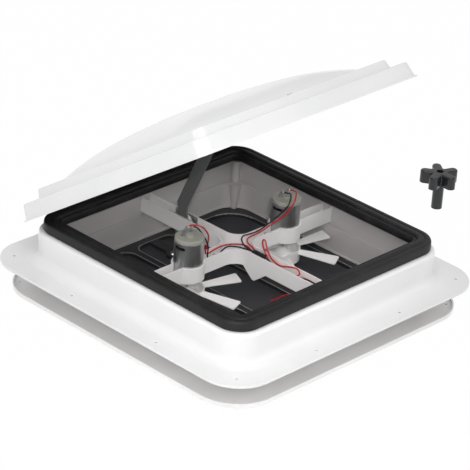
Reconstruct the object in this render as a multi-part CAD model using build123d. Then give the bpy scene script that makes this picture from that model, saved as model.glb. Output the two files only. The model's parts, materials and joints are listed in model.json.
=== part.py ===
from build123d import *
import os
from math import asin, cos, degrees, pi, radians, sin, sqrt, tan

os.makedirs("parts", exist_ok=True)

# Millimetres, +Z up. Origin: middle of the roof opening, on the roof's outer surface.
# The lid hangs on the +Y side. Everything is drawn at rest, with the lid open.

# Clearances
overrun = 6.0
screw_gap = 0.1
run_gap = 0.05
slip_gap = 0.2
pass_gap = 0.3
near_gap = 0.5

# Roof base: flange, curb and the collar that passes through the roof
inner_half = 168.0
inner_corner = 16.0
corner_centre = inner_half - inner_corner
curb_depth = 22.0
curb_half = inner_half + curb_depth
flange_reach = 38.0
flange_half = curb_half + flange_reach
flange_radius = 52.0
flange_thick = 3.0
flange_round = 1.0
curb_foot = 14.0
foot_round_share = 0.98
curb_shoulder = 5.0
curb_wall = 3.0
land_z = 46.0
collar_low_z = -18.0
rib_offset = 6.0
rib_middle = inner_half + rib_offset
rib_thick = 4.0
rib_height = 7.0
pilaster_radius = 5.5
pilaster_inset = 8.0
roof_hole_radius = 2.2
corner_hole_offset = 10.0
corner_hole_reach = curb_half + corner_hole_offset
side_hole_inset = 14.0
side_hole_reach = flange_half - side_hole_inset
side_hole_spread = 76.0

# Rim seal
seal_inset = 5.8
seal_outer = curb_half - seal_inset
seal_overhang = 9.0
seal_inner = inner_half - seal_overhang
seal_step_height = 13.6
seal_crest_height = 14.5
seal_lip_height = 3.0
seal_chamfer = 2.0
seal_crest_inset = 9.2
seal_crest_width = 9.0

# Interior garnish
garnish_inset = 9.6
garnish_half = flange_half - garnish_inset
garnish_radius = 60.0
garnish_low_z = -36.5
garnish_thick = 2.5
garnish_lip_height = 5.5
garnish_lip_thick = 2.0
garnish_collar_gap = 3.5
garnish_inner = inner_half - garnish_collar_gap
garnish_wall = 2.0
garnish_corner_radius = 32.0
garnish_top_z = 16.0
garnish_pilaster_foot = 4.0
garnish_pilaster_head = 8.5
garnish_pilaster_inset = 2.0
garnish_hole_radius = 2.0
garnish_hole_offset = 4.0
garnish_hole_reach = curb_half + garnish_hole_offset

# Screen frame, mesh and clips
frame_top_z = -20.0
frame_thick = 4.0
frame_margin = 14.0
frame_strip_half = 34.0
frame_strip_width = 12.0
frame_window_radius = 36.0
frame_inner_radius = 14.0
frame_bead_width = 1.6
frame_bead_height = 0.8
frame_boss_radius = 15.0
frame_boss_hole = 9.0
mesh_thick = 0.5
stop_width = 1.8
stop_height = 2.0
clip_length = 22.0
clip_reach = 8.0
clip_thick = 3.0

# Cross bracket
bar_half = 9.0
bar_wall = 1.8
bar_low_z = 19.5
bar_floor = 2.0
bar_top_z = 40.5
bar_gusset = 20.0
end_tab_thick = 2.5
end_tab_height = 11.0
end_screw_height = 6.5
cradle_wall = 2.2
lead_hole_radius = 4.0
wall_hole_radius = 1.9
wall_hole_height = 9.0
wall_hole_inset = 35.0
wall_hole_start = inner_half - wall_hole_inset
wall_hole_step = 15.0
back_hole_inset = 20.0
back_hole_start = inner_half - back_hole_inset
back_hole_step = 10.0
bar_hole_radius = 1.3
bar_hole_height = 10.5
bar_hole_places = (-25.5, -18.5)
bar_slot_places = (-33.5, 60.0)
bar_slot_length = 5.5
tab_depth = 15.0
tab_start = 20.0
tab_tip_start = 38.0
tab_tip_end = 42.0
tab_end = 61.0

# Motors
motor_reach = 87.5
can_radius = 19.1
can_length = 50.5
can_wall = 1.2
can_boss_radius = 6.5
can_boss_length = 2.4
can_slot_height = 4.0
can_slot_width = 16.0
can_slot_below = 4.0
slot_turn = 184.0
bell_thick = 5.0
bell_boss_radius = 5.5
bell_boss_height = 2.5
magnet_thick = 3.6
magnet_length = 34.0
magnet_arc = 110.0
rotor_radius = 13.2
rotor_length = 28.0
rotor_above_floor = 11.0
rotor_slot = 2.2
commutator_radius = 5.0
commutator_length = 8.0
brush_width = 4.0
bush_radius = 4.0
shaft_radius = 1.6
shaft_end_z = 1.0
tab_width = 5.0
tab_thick = 0.8
tab_spread = 5.8
tab_shift = -1.3
tab_y = 7.0
tab_leans = {"left": (10.0, 6.5), "right": (6.5, 6.5)}
tab_eye_radius = 0.7
tab_eye_drop = 2.6

# Fans
hub_radius = 23.0
hub_wall = 1.6
hub_top_z = 5.0
hub_depth = 16.0
hub_floor_depth = 10.0
hub_dish_rise = 3.3
hub_boss_radius = 5.5
hub_boss_top = 0.3
hub_boss_round = 1.1
blade_count = 6
blade_tip = 75.8
blade_root_chord = 7.5
blade_tip_chord = 18.0
blade_root_pitch = 30.0
blade_tip_pitch = 11.0
blade_corner = 4.0
blade_bite = 1.2
blade_thick = 1.4
blade_z = 2.6
blade_phases = {"left": -16.6, "right": -6.6}

# Lid, described shut
lid_overlap = 3.0
lid_half = curb_half + lid_overlap
lid_radius = 18.0
lid_offset = 0.5
lid_low_z = 45.7
lid_wall = 2.5
lip_out = 2.5
lip_height = 2.0
skirt_height = 22.0
skirt_draft = 2.9
skirt_round = 3.0
riser_inset = 20.0
riser_foot = lid_half - riser_inset
riser_height = 11.8
riser_draft = 3.6
riser_round = 2.0
dome_inset = 19.0
dome_foot = riser_foot - dome_inset
dome_radius = 46.0
dome_height = 27.0
dome_back_shift = 0.0
dome_reach_shares = (1.0, 0.93, 0.845, 0.72, 0.55, 0.34, 0.14)
dome_rise_shares = (0.0, 0.2, 0.39, 0.61, 0.81, 0.95, 1.0)
open_angle = 34.4

# Lid seat ring, brace and track
ring_overhang = 4.0
ring_inner = inner_half - ring_overhang
ring_inset = 6.0
ring_outer = curb_half - ring_inset
ring_radius = 13.0
ring_gap = 0.3
brace_half = 10.0
brace_wall = 2.0
brace_depth = 8.0
brace_inset = 4.0
brace_end = ring_inner - brace_inset
track_z = 63.6
track_slot_gap = 1.2
track_edge = 3.6
track_margin = 14.0
more_open = 4.0

# Hinges
pin_z = 35.0
pin_radius = 2.2
barrel_radius = 4.8
barrel_half = 7.9
ear_radius = 6.0
ear_thick = 2.4
plate_thick = 2.0
plate_half = 17.0
plate_low_z = 21.0
hinge_reach = 115.0
leaf_thick = 2.4
leaf_high_z = 64.0
leaf_foot_z = 50.0
pin_head = 1.2
pin_head_radius = 3.3

# Operator: frame, worm, wheel, arm and spindle
pivot_y = 93.0
pivot_z = 33.0
arm_length = 147.1
arm_width = 17.0
arm_neck_width = 16.0
arm_thick = 2.5
arm_x = -4.65
arm_hub_radius = 8.0
knee_along = 22.0
knee_out = 11.0
arm_shaft_radius = 3.0
wheel_module = 0.8
wheel_teeth = 22
tooth_root_share = 1.2
tooth_flare_share = 0.44
tooth_root_sink = 0.1
wheel_width = 3.6
wheel_x = 0.9
wheel_hub_radius = 6.0
worm_radius = 4.1
worm_turns = 6
tooth_play = 0.61
plate_gauge = 0.9
frame_back = 13.0
frame_front = 6.5
frame_side_z = 41.0
frame_high_z = 44.0
journal_radius = 2.4
tower_reach = 4.8
tower_gap = 0.6
spindle_radius = 4.0
spindle_top_z = 25.0
spindle_step_z = -22.0
spindle_end_z = -34.0
spindle_end_radius = 3.6
bush_wall = 1.2
bush_flange = 1.0
collar_radius = 5.0
collar_height = 2.0
clip_gap = 0.1
roller_radius = 4.0
roller_width = 2.6
roller_pin_radius = 2.5
roller_head_radius = 5.6
spacer_radius = 3.6

# Screws
screw_radius = 2.0
head_radius = 3.8
head_height = 2.2
small_screw_radius = 1.5
small_head_radius = 2.8
small_head_height = 1.8
rivet_radius = 1.6
rivet_head_radius = 3.0
rivet_head_height = 1.0

# Leads
lead_radius = 1.0
bend_share = 0.45

# Crank knob, stood beside the vent on the same floor
knob_x = 401.0
knob_y = 2.0
knob_height = 55.0
knob_stem_radius = 7.6
knob_head_height = 18.0
knob_reach = 27.0
knob_core_radius = 12.0
knob_lobe_width = 13.0
knob_lobes = 5
knob_turn = 53.0
knob_round = 2.5
knob_recess_radius = 5.0
knob_recess_depth = 8.0
insert_radius = 6.0
socket_depth = 12.0


def block(x0, x1, y0, y1, z0, z1):
    """Box between two corners."""
    middle = Pos((x0 + x1) / 2, (y0 + y1) / 2, (z0 + z1) / 2)
    return middle * Box(x1 - x0, y1 - y0, z1 - z0)


def rod(radius, start, axis, length):
    """Round bar from a point along an axis."""
    return Plane(origin=start, z_dir=axis) * extrude(Circle(radius), amount=length)


def rounded_plate(half, radius, low, high, shift=0.0):
    """Square plate with rounded corners between two heights."""
    return Pos(0, shift, low) * extrude(RectangleRounded(2 * half, 2 * half, radius), amount=high - low)


def rounded_taper(half_low, radius_low, half_high, radius_high, low, high, shift=0.0):
    """Square prism with rounded corners that narrows upwards."""
    foot = Pos(0, shift, low) * RectangleRounded(2 * half_low, 2 * half_low, radius_low)
    head = Pos(0, shift, high) * RectangleRounded(2 * half_high, 2 * half_high, radius_high)
    return loft([foot, head])


def section(points, rounds=None):
    """Face of (reach, height) points, with some of its corners rounded by index."""
    face = make_face(Polyline(*points, close=True))
    for index, radius in (rounds or {}).items():
        corner = face.vertices().sort_by_distance(Vector(*points[index]))[0]
        face = fillet(corner, radius)
    return face


def square_moulding(profile, centre):
    """Carry a section round a square whose corners turn about the named centre."""
    face = Plane.XZ * profile
    side = extrude(Pos(0, -centre, 0) * face, amount=2 * centre, dir=(0, 1, 0))
    corner = revolve(Pos(0, centre, 0) * face, Axis((centre, centre, 0), (0, 0, 1)), 90)
    pieces = [Rot(0, 0, turn) * piece for turn in (0, 90, 180, 270) for piece in (side, corner)]
    return pieces[0].fuse(*pieces[1:]).clean()


def square_corners(reach_x, reach_y):
    """The four mirrored places of one point."""
    return [(sx * reach_x, sy * reach_y) for sx in (-1, 1) for sy in (-1, 1)]


def screw(start, axis, length, radius, cap_radius, cap_height):
    """Shank along the axis from under its head, and the head behind the start."""
    plane = Plane(origin=start, z_dir=axis)
    shank = plane * extrude(Circle(radius), amount=length)
    cap = plane * extrude(Circle(cap_radius), amount=-cap_height)
    return shank + cap


def group(pieces):
    """Several separate solids as one sub-part."""
    return Compound(children=list(pieces))


def save(name, shape):
    """Write one sub-part."""
    export_step(shape, f"parts/{name}.step")


# Places that several pieces share
pin_y = curb_half + plate_thick + slip_gap + barrel_radius
cavity_out = curb_half - curb_wall
collar_out = inner_half + curb_wall
crest_z = land_z + seal_crest_height
floor_z = bar_low_z + bar_floor
can_top_z = floor_z + can_length
bell_top_z = can_top_z + bell_thick
deck_z = lid_low_z + skirt_height + riser_height
ledge_z = lid_low_z + skirt_height
skirt_foot = lid_half - lip_out
skirt_top = skirt_foot - skirt_draft
riser_top = riser_foot - riser_draft
wheel_radius = wheel_module * wheel_teeth / 2
spindle_y = pivot_y + wheel_radius + worm_radius
worm_pitch = pi * wheel_module
frame_low_z = frame_top_z - frame_thick
mesh_low_z = frame_low_z - mesh_thick
frame_outer = garnish_inner - pass_gap
tread_z = frame_top_z + slip_gap
lid_pose = Pos(0, pin_y, pin_z) * Rot(-open_angle, 0, 0) * Pos(0, -pin_y, -pin_z)


def arm_elevation(lid_angle):
    """Arm's rise above the -Y direction that keeps its rollers on the lid's track."""
    turn = radians(lid_angle)
    rise = track_z - pin_z + (pin_y - pivot_y) * sin(turn) - (pivot_z - pin_z) * cos(turn)
    return lid_angle + degrees(asin(rise / arm_length))


arm_rest = arm_elevation(open_angle)
arm_ratio = (arm_rest - arm_elevation(0)) / open_angle
spindle_ratio = arm_ratio * wheel_teeth


def roller_travel(lid_angle):
    """Place of the roller along the shut lid's track, as a Y value."""
    rise = radians(arm_rest + arm_ratio * (lid_angle - open_angle))
    turn = radians(lid_angle)
    reach_y = pivot_y - arm_length * cos(rise) - pin_y
    reach_z = pivot_z + arm_length * sin(rise) - pin_z
    return pin_y + reach_y * cos(turn) - reach_z * sin(turn)


# Roof base

def curb_section():
    """Inverted channel of the curb with its foot, shoulder, seal rib and inner collar."""
    rib_in = rib_middle - rib_thick / 2
    rib_out = rib_middle + rib_thick / 2
    points = [
        (inner_half, collar_low_z),
        (collar_out, collar_low_z),
        (collar_out, land_z - curb_wall),
        (cavity_out, land_z - curb_wall),
        (cavity_out, 0),
        (curb_half + curb_foot, 0),
        (curb_half + curb_foot, flange_thick),
        (curb_half, flange_thick),
        (curb_half, land_z),
        (rib_out, land_z),
        (rib_out, land_z + rib_height),
        (rib_in, land_z + rib_height),
        (rib_in, land_z),
        (inner_half, land_z),
    ]
    return section(points, {7: curb_foot * foot_round_share, 8: curb_shoulder})


def roof_base():
    """Flange, curb and collar in one moulding, with its screw holes and corner pilasters."""
    flange = rounded_plate(flange_half, flange_radius, 0, flange_thick)
    flange -= rounded_plate(cavity_out, cavity_out - corner_centre, -overrun, overrun)
    flange = fillet(flange.faces().sort_by(Axis.Z)[-1].outer_wire().edges(), flange_round)
    body = flange.fuse(square_moulding(curb_section(), corner_centre))
    bosses = []
    low = garnish_top_z + pass_gap
    for x, y in square_corners(inner_half - pilaster_inset, inner_half - pilaster_inset):
        bosses.append(rod(pilaster_radius, (x, y, low), (0, 0, 1), land_z - low))
    for angle in (0, 90, 180, 270):
        boss = block(
            collar_out, cavity_out, -head_radius, head_radius, bar_low_z + end_screw_height - head_radius,
            bar_low_z + end_screw_height + head_radius)
        bosses.append(Rot(0, 0, angle) * boss)
    body = body.fuse(*bosses).clean()
    holes = [rod(roof_hole_radius, (x, y, -overrun), (0, 0, 1), 2 * overrun) for x, y in roof_hole_places()]
    holes += [bracket_screw(angle, screw_gap) for angle in (0, 90, 180, 270)]
    holes += [hinge_screw(x, screw_gap) for x in hinge_screw_places()]
    return body.cut(*holes)


def roof_hole_places():
    """Corner holes, then two holes along each side."""
    return (square_corners(corner_hole_reach, corner_hole_reach)
            + square_corners(side_hole_reach, side_hole_spread)
            + square_corners(side_hole_spread, side_hole_reach))


def rim_seal():
    """Soft profile that caps the curb, gripping its rib."""
    grip_in = rib_middle - rib_thick / 2 - slip_gap
    grip_out = rib_middle + rib_thick / 2 + slip_gap
    grip_z = land_z + rib_height + slip_gap
    crest_out = seal_outer - seal_crest_inset
    crest_in = crest_out - seal_crest_width
    points = [
        (seal_outer, land_z),
        (seal_outer, land_z + seal_step_height - seal_chamfer),
        (seal_outer - seal_chamfer, land_z + seal_step_height),
        (crest_out + seal_chamfer, land_z + seal_step_height),
        (crest_out, crest_z),
        (crest_in, crest_z),
        (seal_inner + seal_chamfer / 2, land_z + seal_step_height),
        (seal_inner, land_z + seal_step_height - seal_chamfer),
        (seal_inner, land_z + seal_lip_height),
        (seal_inner + seal_lip_height, land_z),
        (grip_in, land_z),
        (grip_in, grip_z),
        (grip_out, grip_z),
        (grip_out, land_z),
    ]
    return square_moulding(section(points), corner_centre)


# Interior garnish

def garnish():
    """Trim flange, its raised edge and the collar that slides inside the base's collar."""
    collar_reach = garnish_inner + garnish_wall
    collar_corner = garnish_corner_radius + garnish_wall
    plate_top = garnish_low_z + garnish_thick
    lip_top = garnish_low_z + garnish_lip_height
    body = rounded_plate(garnish_half, garnish_radius, garnish_low_z, lip_top)
    body -= rounded_plate(
        garnish_half - garnish_lip_thick, garnish_radius - garnish_lip_thick, plate_top, lip_top + overrun)
    body += rounded_plate(collar_reach, collar_corner, garnish_low_z, garnish_top_z)
    body -= rounded_plate(
        garnish_inner, garnish_corner_radius, garnish_low_z - overrun, garnish_top_z + overrun)
    stop = rounded_plate(collar_reach, collar_corner, tread_z, tread_z + stop_height)
    stop -= rounded_plate(
        garnish_inner - stop_width, garnish_corner_radius, tread_z - overrun, tread_z + stop_height + overrun)
    body += stop
    diagonal = garnish_inner - garnish_corner_radius * (1 - cos(pi / 4))
    tall = garnish_top_z - tread_z
    for x, y in square_corners(diagonal - garnish_pilaster_inset, diagonal - garnish_pilaster_inset):
        column = Pos(x, y, tread_z + tall / 2) * Cone(garnish_pilaster_foot, garnish_pilaster_head, tall)
        body += column & rounded_plate(collar_reach, collar_corner, tread_z, garnish_top_z)
    holes = [
        rod(garnish_hole_radius, (x, y, garnish_low_z - overrun), (0, 0, 1), 2 * overrun)
        for x, y in square_corners(garnish_hole_reach, garnish_hole_reach)]
    return body.cut(*holes)


# Screen

def screen_window(x0, x1, radii):
    """Window opening between two X limits, with outer and inner corner radii."""
    reach = frame_outer - frame_margin
    plan = make_face(Polyline((x0, -reach), (x1, -reach), (x1, reach), (x0, reach), close=True))
    for x, radius in zip((x0, x1), radii):
        for y in (-reach, reach):
            plan = fillet(plan.vertices().sort_by_distance(Vector(x, y))[0], radius)
    return plan


def screen_windows():
    """Two side windows and a middle one."""
    reach = frame_outer - frame_margin
    inner = frame_strip_half + frame_strip_width
    return [
        screen_window(-reach, -inner, (frame_window_radius, frame_inner_radius)),
        screen_window(-frame_strip_half, frame_strip_half, (frame_inner_radius, frame_inner_radius)),
        screen_window(inner, reach, (frame_inner_radius, frame_window_radius)),
    ]


def screen_frame():
    """Thin dark frame with beaded windows and a boss round the spindle."""
    body = rounded_plate(frame_outer, garnish_corner_radius, frame_low_z, frame_top_z)
    for window in screen_windows():
        bead = offset(window, frame_bead_width)
        body += Pos(0, 0, frame_top_z) * extrude(bead, amount=frame_bead_height)
    for window in screen_windows():
        body -= Pos(0, 0, frame_low_z - overrun) * extrude(window, amount=frame_thick + 2 * overrun)
    tongue = block(
        wheel_x - frame_boss_radius / 2, wheel_x + frame_boss_radius / 2, spindle_y,
        frame_outer - frame_margin, frame_low_z, frame_top_z)
    boss = rod(frame_boss_radius, (wheel_x, spindle_y, frame_low_z), (0, 0, 1), frame_thick)
    hole = rod(frame_boss_hole, (wheel_x, spindle_y, frame_low_z - overrun), (0, 0, 1), frame_thick + 2 * overrun)
    body = body.fuse(tongue, boss).clean()
    return body.cut(hole)


def insect_screen():
    """Fine mesh under the frame, drawn as one sheet with the spindle's hole."""
    sheet = rounded_plate(
        frame_outer - frame_bead_width, garnish_corner_radius - frame_bead_width, mesh_low_z, frame_low_z)
    return sheet - rod(frame_boss_hole, (wheel_x, spindle_y, mesh_low_z - overrun), (0, 0, 1), 2 * overrun)


def screen_clips():
    """Four clips on the garnish that carry the frame."""
    clip = block(
        garnish_inner - clip_reach, garnish_inner, -clip_length / 2, clip_length / 2,
        mesh_low_z - clip_thick, mesh_low_z)
    return group(Rot(0, 0, angle) * clip for angle in (0, 90, 180, 270))


# Cross bracket

def bracket_plan(half, cradle):
    """Plan of the plus with rounded inner corners and two round cradles."""
    plan = Rectangle(2 * inner_half, 2 * half) + Rectangle(2 * half, 2 * inner_half)
    inner = [v for v in plan.vertices() if abs(abs(v.X) - half) < near_gap and abs(abs(v.Y) - half) < near_gap]
    plan = fillet(inner, bar_gusset + bar_half - half)
    for x in (-motor_reach, motor_reach):
        plan += Pos(x, 0) * Circle(cradle)
    return plan


def cross_bracket():
    """Two crossed channels with motor cradles, end tabs, lead holes and the hanging tab."""
    cradle_in = can_radius + slip_gap
    outer = extrude(bracket_plan(bar_half, cradle_in + cradle_wall), amount=bar_top_z - bar_low_z)
    inner = extrude(bracket_plan(bar_half - bar_wall, cradle_in), amount=bar_top_z)
    body = Pos(0, 0, bar_low_z) * outer - Pos(0, 0, floor_z) * inner
    tab_high = bar_low_z + end_tab_height
    for angle in (0, 90, 180, 270):
        end_tab = block(inner_half - end_tab_thick, inner_half, -bar_half, bar_half, bar_low_z, tab_high)
        body += Rot(0, 0, angle) * end_tab
    hanging = make_face(Polyline(
        (-tab_start, floor_z), (-tab_start, bar_low_z), (-tab_tip_start, bar_low_z - tab_depth),
        (-tab_tip_end, bar_low_z - tab_depth), (-tab_end, bar_low_z), (-tab_end, floor_z), close=True))
    body += Pos(-bar_half, 0, 0) * extrude(Plane.YZ * hanging, amount=bar_wall)
    cuts = [bracket_screw(angle, screw_gap) for angle in (0, 90, 180, 270)]
    cuts += [motor_screw(x, y, screw_gap) for x, y in motor_screw_places()]
    cuts += [operator_screw(y, screw_gap) for y in operator_screw_places()]
    for x in (-motor_reach, motor_reach):
        cuts.append(rod(can_boss_radius + slip_gap, (x, 0, bar_low_z - overrun), (0, 0, 1), 2 * overrun))
    bush_hole = spindle_radius + run_gap + bush_wall
    cuts.append(rod(bush_hole, (wheel_x, spindle_y, bar_low_z - overrun), (0, 0, 1), 2 * overrun))
    cuts.append(rod(lead_hole_radius, lead_hole_place() + (bar_low_z - overrun,), (0, 0, 1), 2 * overrun))
    return body.cut(*cuts, *wall_holes())


def wall_holes():
    """Round holes and slots in the back wall of the long bar, and two in the back arm's wall."""
    low = bar_half - 2 * bar_wall
    cuts = []
    for step in range(3):
        place = (wall_hole_start + step * wall_hole_step, low, bar_low_z + wall_hole_height)
        cuts.append(rod(wall_hole_radius, place, (0, 1, 0), 3 * bar_wall))
    for step in range(2):
        place = (low, back_hole_start + step * back_hole_step, bar_low_z + wall_hole_height)
        cuts.append(rod(wall_hole_radius, place, (1, 0, 0), 3 * bar_wall))
    z = bar_low_z + bar_hole_height
    cuts += [rod(bar_hole_radius, (x, low, z), (0, 1, 0), 3 * bar_wall) for x in bar_hole_places]
    slot = extrude(Plane.XZ * SlotOverall(bar_slot_length, 2 * bar_hole_radius), amount=-3 * bar_wall)
    cuts += [Pos(x, low, z) * slot for x in bar_slot_places]
    return cuts


def lead_hole_place():
    """Where the supply leads drop through the floor of the front arm."""
    return (0, -inner_half + end_tab_thick + 3 * lead_hole_radius)


def bracket_screw(angle, gap=0.0):
    """Screw through an end tab into the curb; a gap widens it into its own hole."""
    z = bar_low_z + end_screw_height
    start = (inner_half - end_tab_thick, 0, z)
    length = end_tab_thick + cavity_out - inner_half - slip_gap + gap
    piece = screw(start, (1, 0, 0), length, screw_radius + gap, head_radius, head_height)
    return Rot(0, 0, angle) * piece


def bracket_screws():
    """One screw at each end of the cross."""
    return group(bracket_screw(angle) for angle in (0, 90, 180, 270))


# Motors

def motor_screw_places():
    """Two fixing screws under each motor."""
    spread = (can_boss_radius + can_radius) / 2
    return [(side * motor_reach, turn * spread) for side in (-1, 1) for turn in (-1, 1)]


def motor_screw(x, y, gap=0.0):
    """Screw up through the cradle floor into the foot of the can."""
    return screw((x, y, bar_low_z), (0, 0, 1), bar_floor + can_wall + gap, small_screw_radius + gap,
                 small_head_radius, small_head_height)


def motor_screws(side):
    """The two screws of one motor."""
    return group(motor_screw(x, y) for x, y in motor_screw_places() if x * side > 0)


def at_motor(side, shape):
    """Move a shape drawn about the Z axis to one motor."""
    return Pos(side * motor_reach, 0, 0) * shape


def motor_can(side):
    """Drawn steel can with its foot boss, two slots and screw holes."""
    body = rod(can_radius, (0, 0, floor_z), (0, 0, 1), can_length)
    body = fillet(body.edges().sort_by(Axis.Z)[0], can_wall)
    body -= rod(can_radius - can_wall, (0, 0, floor_z + can_wall), (0, 0, 1), can_length)
    body += rod(can_boss_radius, (0, 0, floor_z - can_boss_length), (0, 0, 1), can_boss_length + can_wall)
    slot_z = can_top_z - can_slot_below - can_slot_height
    for turn in (slot_turn, slot_turn + 180):
        cut = block(0, can_radius + overrun, -can_slot_width / 2, can_slot_width / 2, slot_z, slot_z + can_slot_height)
        body -= Rot(0, 0, turn) * cut
    body -= rod(bush_radius, (0, 0, floor_z - overrun), (0, 0, 1), 2 * overrun)
    body = at_motor(side, body)
    return body.cut(*[motor_screw(x, y, screw_gap) for x, y in motor_screw_places() if x * side > 0])


def motor_bell(side):
    """Moulded end cap that closes the can and carries the tabs."""
    rim = rod(can_radius - pass_gap, (0, 0, can_top_z), (0, 0, 1), bell_thick)
    rim = fillet(rim.edges().sort_by(Axis.Z)[-1], can_wall)
    body = rim + rod(bell_boss_radius, (0, 0, bell_top_z), (0, 0, 1), bell_boss_height)
    body -= rod(bush_radius, (0, 0, can_top_z - overrun), (0, 0, 1), bell_thick + overrun)
    return at_motor(side, body.cut(*tab_blanks(side)))


def tab_blanks(side):
    """Two terminal strips that rise from inside the bell and lean outwards above it."""
    blanks = []
    slant = tab_thick / sqrt(2)
    for turn, lean in zip((-1, 1), tab_leans["left" if side < 0 else "right"]):
        x0 = tab_shift + turn * tab_spread - tab_thick / 2
        x1 = x0 + tab_thick
        fold = bell_top_z + tab_thick - 2 * slant
        outline = make_face(Polyline(
            (x0, can_top_z), (x0, bell_top_z), (x0 + lean, bell_top_z + lean),
            (x0 + lean + slant, bell_top_z + lean - slant), (x1, fold), (x1, can_top_z), close=True))
        blanks.append(Pos(0, tab_y, 0) * extrude(Plane.XZ * outline, amount=tab_width / 2, both=True))
    return blanks


def motor_tabs(side):
    """Two terminal strips, each with its solder eye."""
    tabs = []
    for turn, blank in zip((-1, 1), tab_blanks(side)):
        top = blank.bounding_box().max
        eye = rod(tab_eye_radius, (-can_radius, tab_y, top.Z - tab_eye_drop), (1, 0, 0), 2 * can_radius)
        tabs.append(at_motor(side, blank - eye))
    return group(tabs)


def motor_magnets(side):
    """Two arc magnets against the can's wall."""
    outer = can_radius - can_wall
    low = floor_z + rotor_above_floor - (magnet_length - rotor_length) / 2
    shell = rod(outer, (0, 0, low), (0, 0, 1), magnet_length)
    shell -= rod(outer - magnet_thick, (0, 0, low - overrun), (0, 0, 1), magnet_length + 2 * overrun)
    reach = 2 * outer
    half = radians(magnet_arc / 2)
    wedge = make_face(Polyline((0, 0), (reach * cos(half), reach * sin(half)),
                               (reach * cos(half), -reach * sin(half)), close=True))
    wedge = Pos(0, 0, low - overrun) * extrude(wedge, amount=magnet_length + 2 * overrun)
    arcs = [shell & (Rot(0, 0, turn) * wedge) for turn in (90, 270)]
    return group(at_motor(side, arc) for arc in arcs)


def commutator_low():
    """Foot of the commutator, a little above the rotor stack."""
    return floor_z + rotor_above_floor + rotor_length + shaft_radius


def motor_brushes(side):
    """Two brushes between the can's wall and the commutator."""
    low = commutator_low() + commutator_length / 4
    brush = block(
        commutator_radius + pass_gap, can_radius - can_wall - can_wall / 2, -brush_width / 2, brush_width / 2,
        low, low + brush_width)
    holder = block(
        can_radius - can_wall - 4 * can_wall, can_radius - can_wall - can_wall / 2, -brush_width / 2,
        brush_width / 2, low + brush_width, can_top_z)
    return group(at_motor(side, Rot(0, 0, turn) * (brush + holder)) for turn in (90, 270))


def motor_bushes(side):
    """Sintered bush in the can's foot and another in the bell."""
    lower = rod(bush_radius, (0, 0, floor_z - can_boss_length), (0, 0, 1), can_boss_length + can_wall)
    upper = rod(bush_radius, (0, 0, can_top_z), (0, 0, 1), bell_thick)
    bore = rod(shaft_radius + run_gap, (0, 0, floor_z - overrun), (0, 0, 1), can_length + 2 * overrun)
    return group(at_motor(side, bush - bore) for bush in (lower, upper))


def rotor(side):
    """Shaft with its slotted iron stack."""
    low = floor_z + rotor_above_floor
    stack = rod(rotor_radius, (0, 0, low), (0, 0, 1), rotor_length)
    for turn in range(0, 360, 72):
        cut = block(
            rotor_radius / 2, rotor_radius + overrun, -rotor_slot / 2, rotor_slot / 2, low - overrun,
            low + rotor_length + overrun)
        stack -= Rot(0, 0, turn) * cut
    shaft = rod(shaft_radius, (0, 0, shaft_end_z), (0, 0, 1), can_top_z + bell_thick - shaft_end_z)
    return at_motor(side, stack + shaft)


def commutator(side):
    """Copper ring on the shaft above the stack."""
    ring = rod(commutator_radius, (0, 0, commutator_low()), (0, 0, 1), commutator_length)
    ring -= rod(shaft_radius, (0, 0, commutator_low() - overrun), (0, 0, 1), commutator_length + 2 * overrun)
    return at_motor(side, ring)


# Fans

def fan_blade():
    """Flat blade that widens and untwists from the hub's rim to its rounded tip."""
    def chord(reach, width, pitch):
        place = Pos(reach, 0, blade_z) * Rot(pitch, 0, 0) * Rot(0, 90, 0)
        return place * Rectangle(blade_thick, width)
    root = chord(hub_radius - blade_bite, blade_root_chord, blade_root_pitch)
    tip = chord(blade_tip - blade_thick / 2, blade_tip_chord, blade_tip_pitch)
    plan = Pos(0, 0, -hub_depth) * extrude(RectangleRounded(2 * blade_tip, blade_tip_chord, blade_corner), amount=2 * hub_depth)
    return loft([root, tip]) & plan


def fan(side, phase):
    """Open cup hub with a raised middle and six blades."""
    low = hub_top_z - hub_depth
    profile = section([
        (shaft_radius, low + hub_floor_depth - hub_wall),
        (hub_boss_radius, low + hub_floor_depth - hub_wall),
        (hub_radius - hub_wall, low),
        (hub_radius, low),
        (hub_radius, hub_top_z),
        (hub_radius - hub_wall, hub_top_z),
        (hub_radius - hub_wall, low + hub_dish_rise),
        (hub_boss_radius, hub_top_z - hub_boss_top - hub_wall),
        (hub_boss_radius - hub_boss_round, hub_top_z - hub_boss_top),
        (shaft_radius, hub_top_z - hub_boss_top),
    ])
    body = revolve(Plane.XZ * profile, Axis.Z)
    blades = [Rot(0, 0, phase + 360 * index / blade_count) * fan_blade() for index in range(blade_count)]
    hollow = rod(hub_radius - hub_wall, (0, 0, low - overrun), (0, 0, 1), hub_depth + 2 * overrun)
    body = body.fuse(*[blade - hollow for blade in blades]).clean()
    return at_motor(side, body)


# Lid, drawn shut and then opened

def dome_sections(drop):
    """Outlines of the dome from its foot up; a drop draws the inner skin."""
    outlines = []
    for reach_share, rise_share in zip(dome_reach_shares, dome_rise_shares):
        half = dome_foot * reach_share - drop
        radius = dome_radius * reach_share - drop / 2
        shift = lid_offset + dome_back_shift * rise_share
        outline = RectangleRounded(2 * half, 2 * half, radius)
        outlines.append(Pos(0, shift, deck_z + dome_height * rise_share - drop) * outline)
    return outlines


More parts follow.
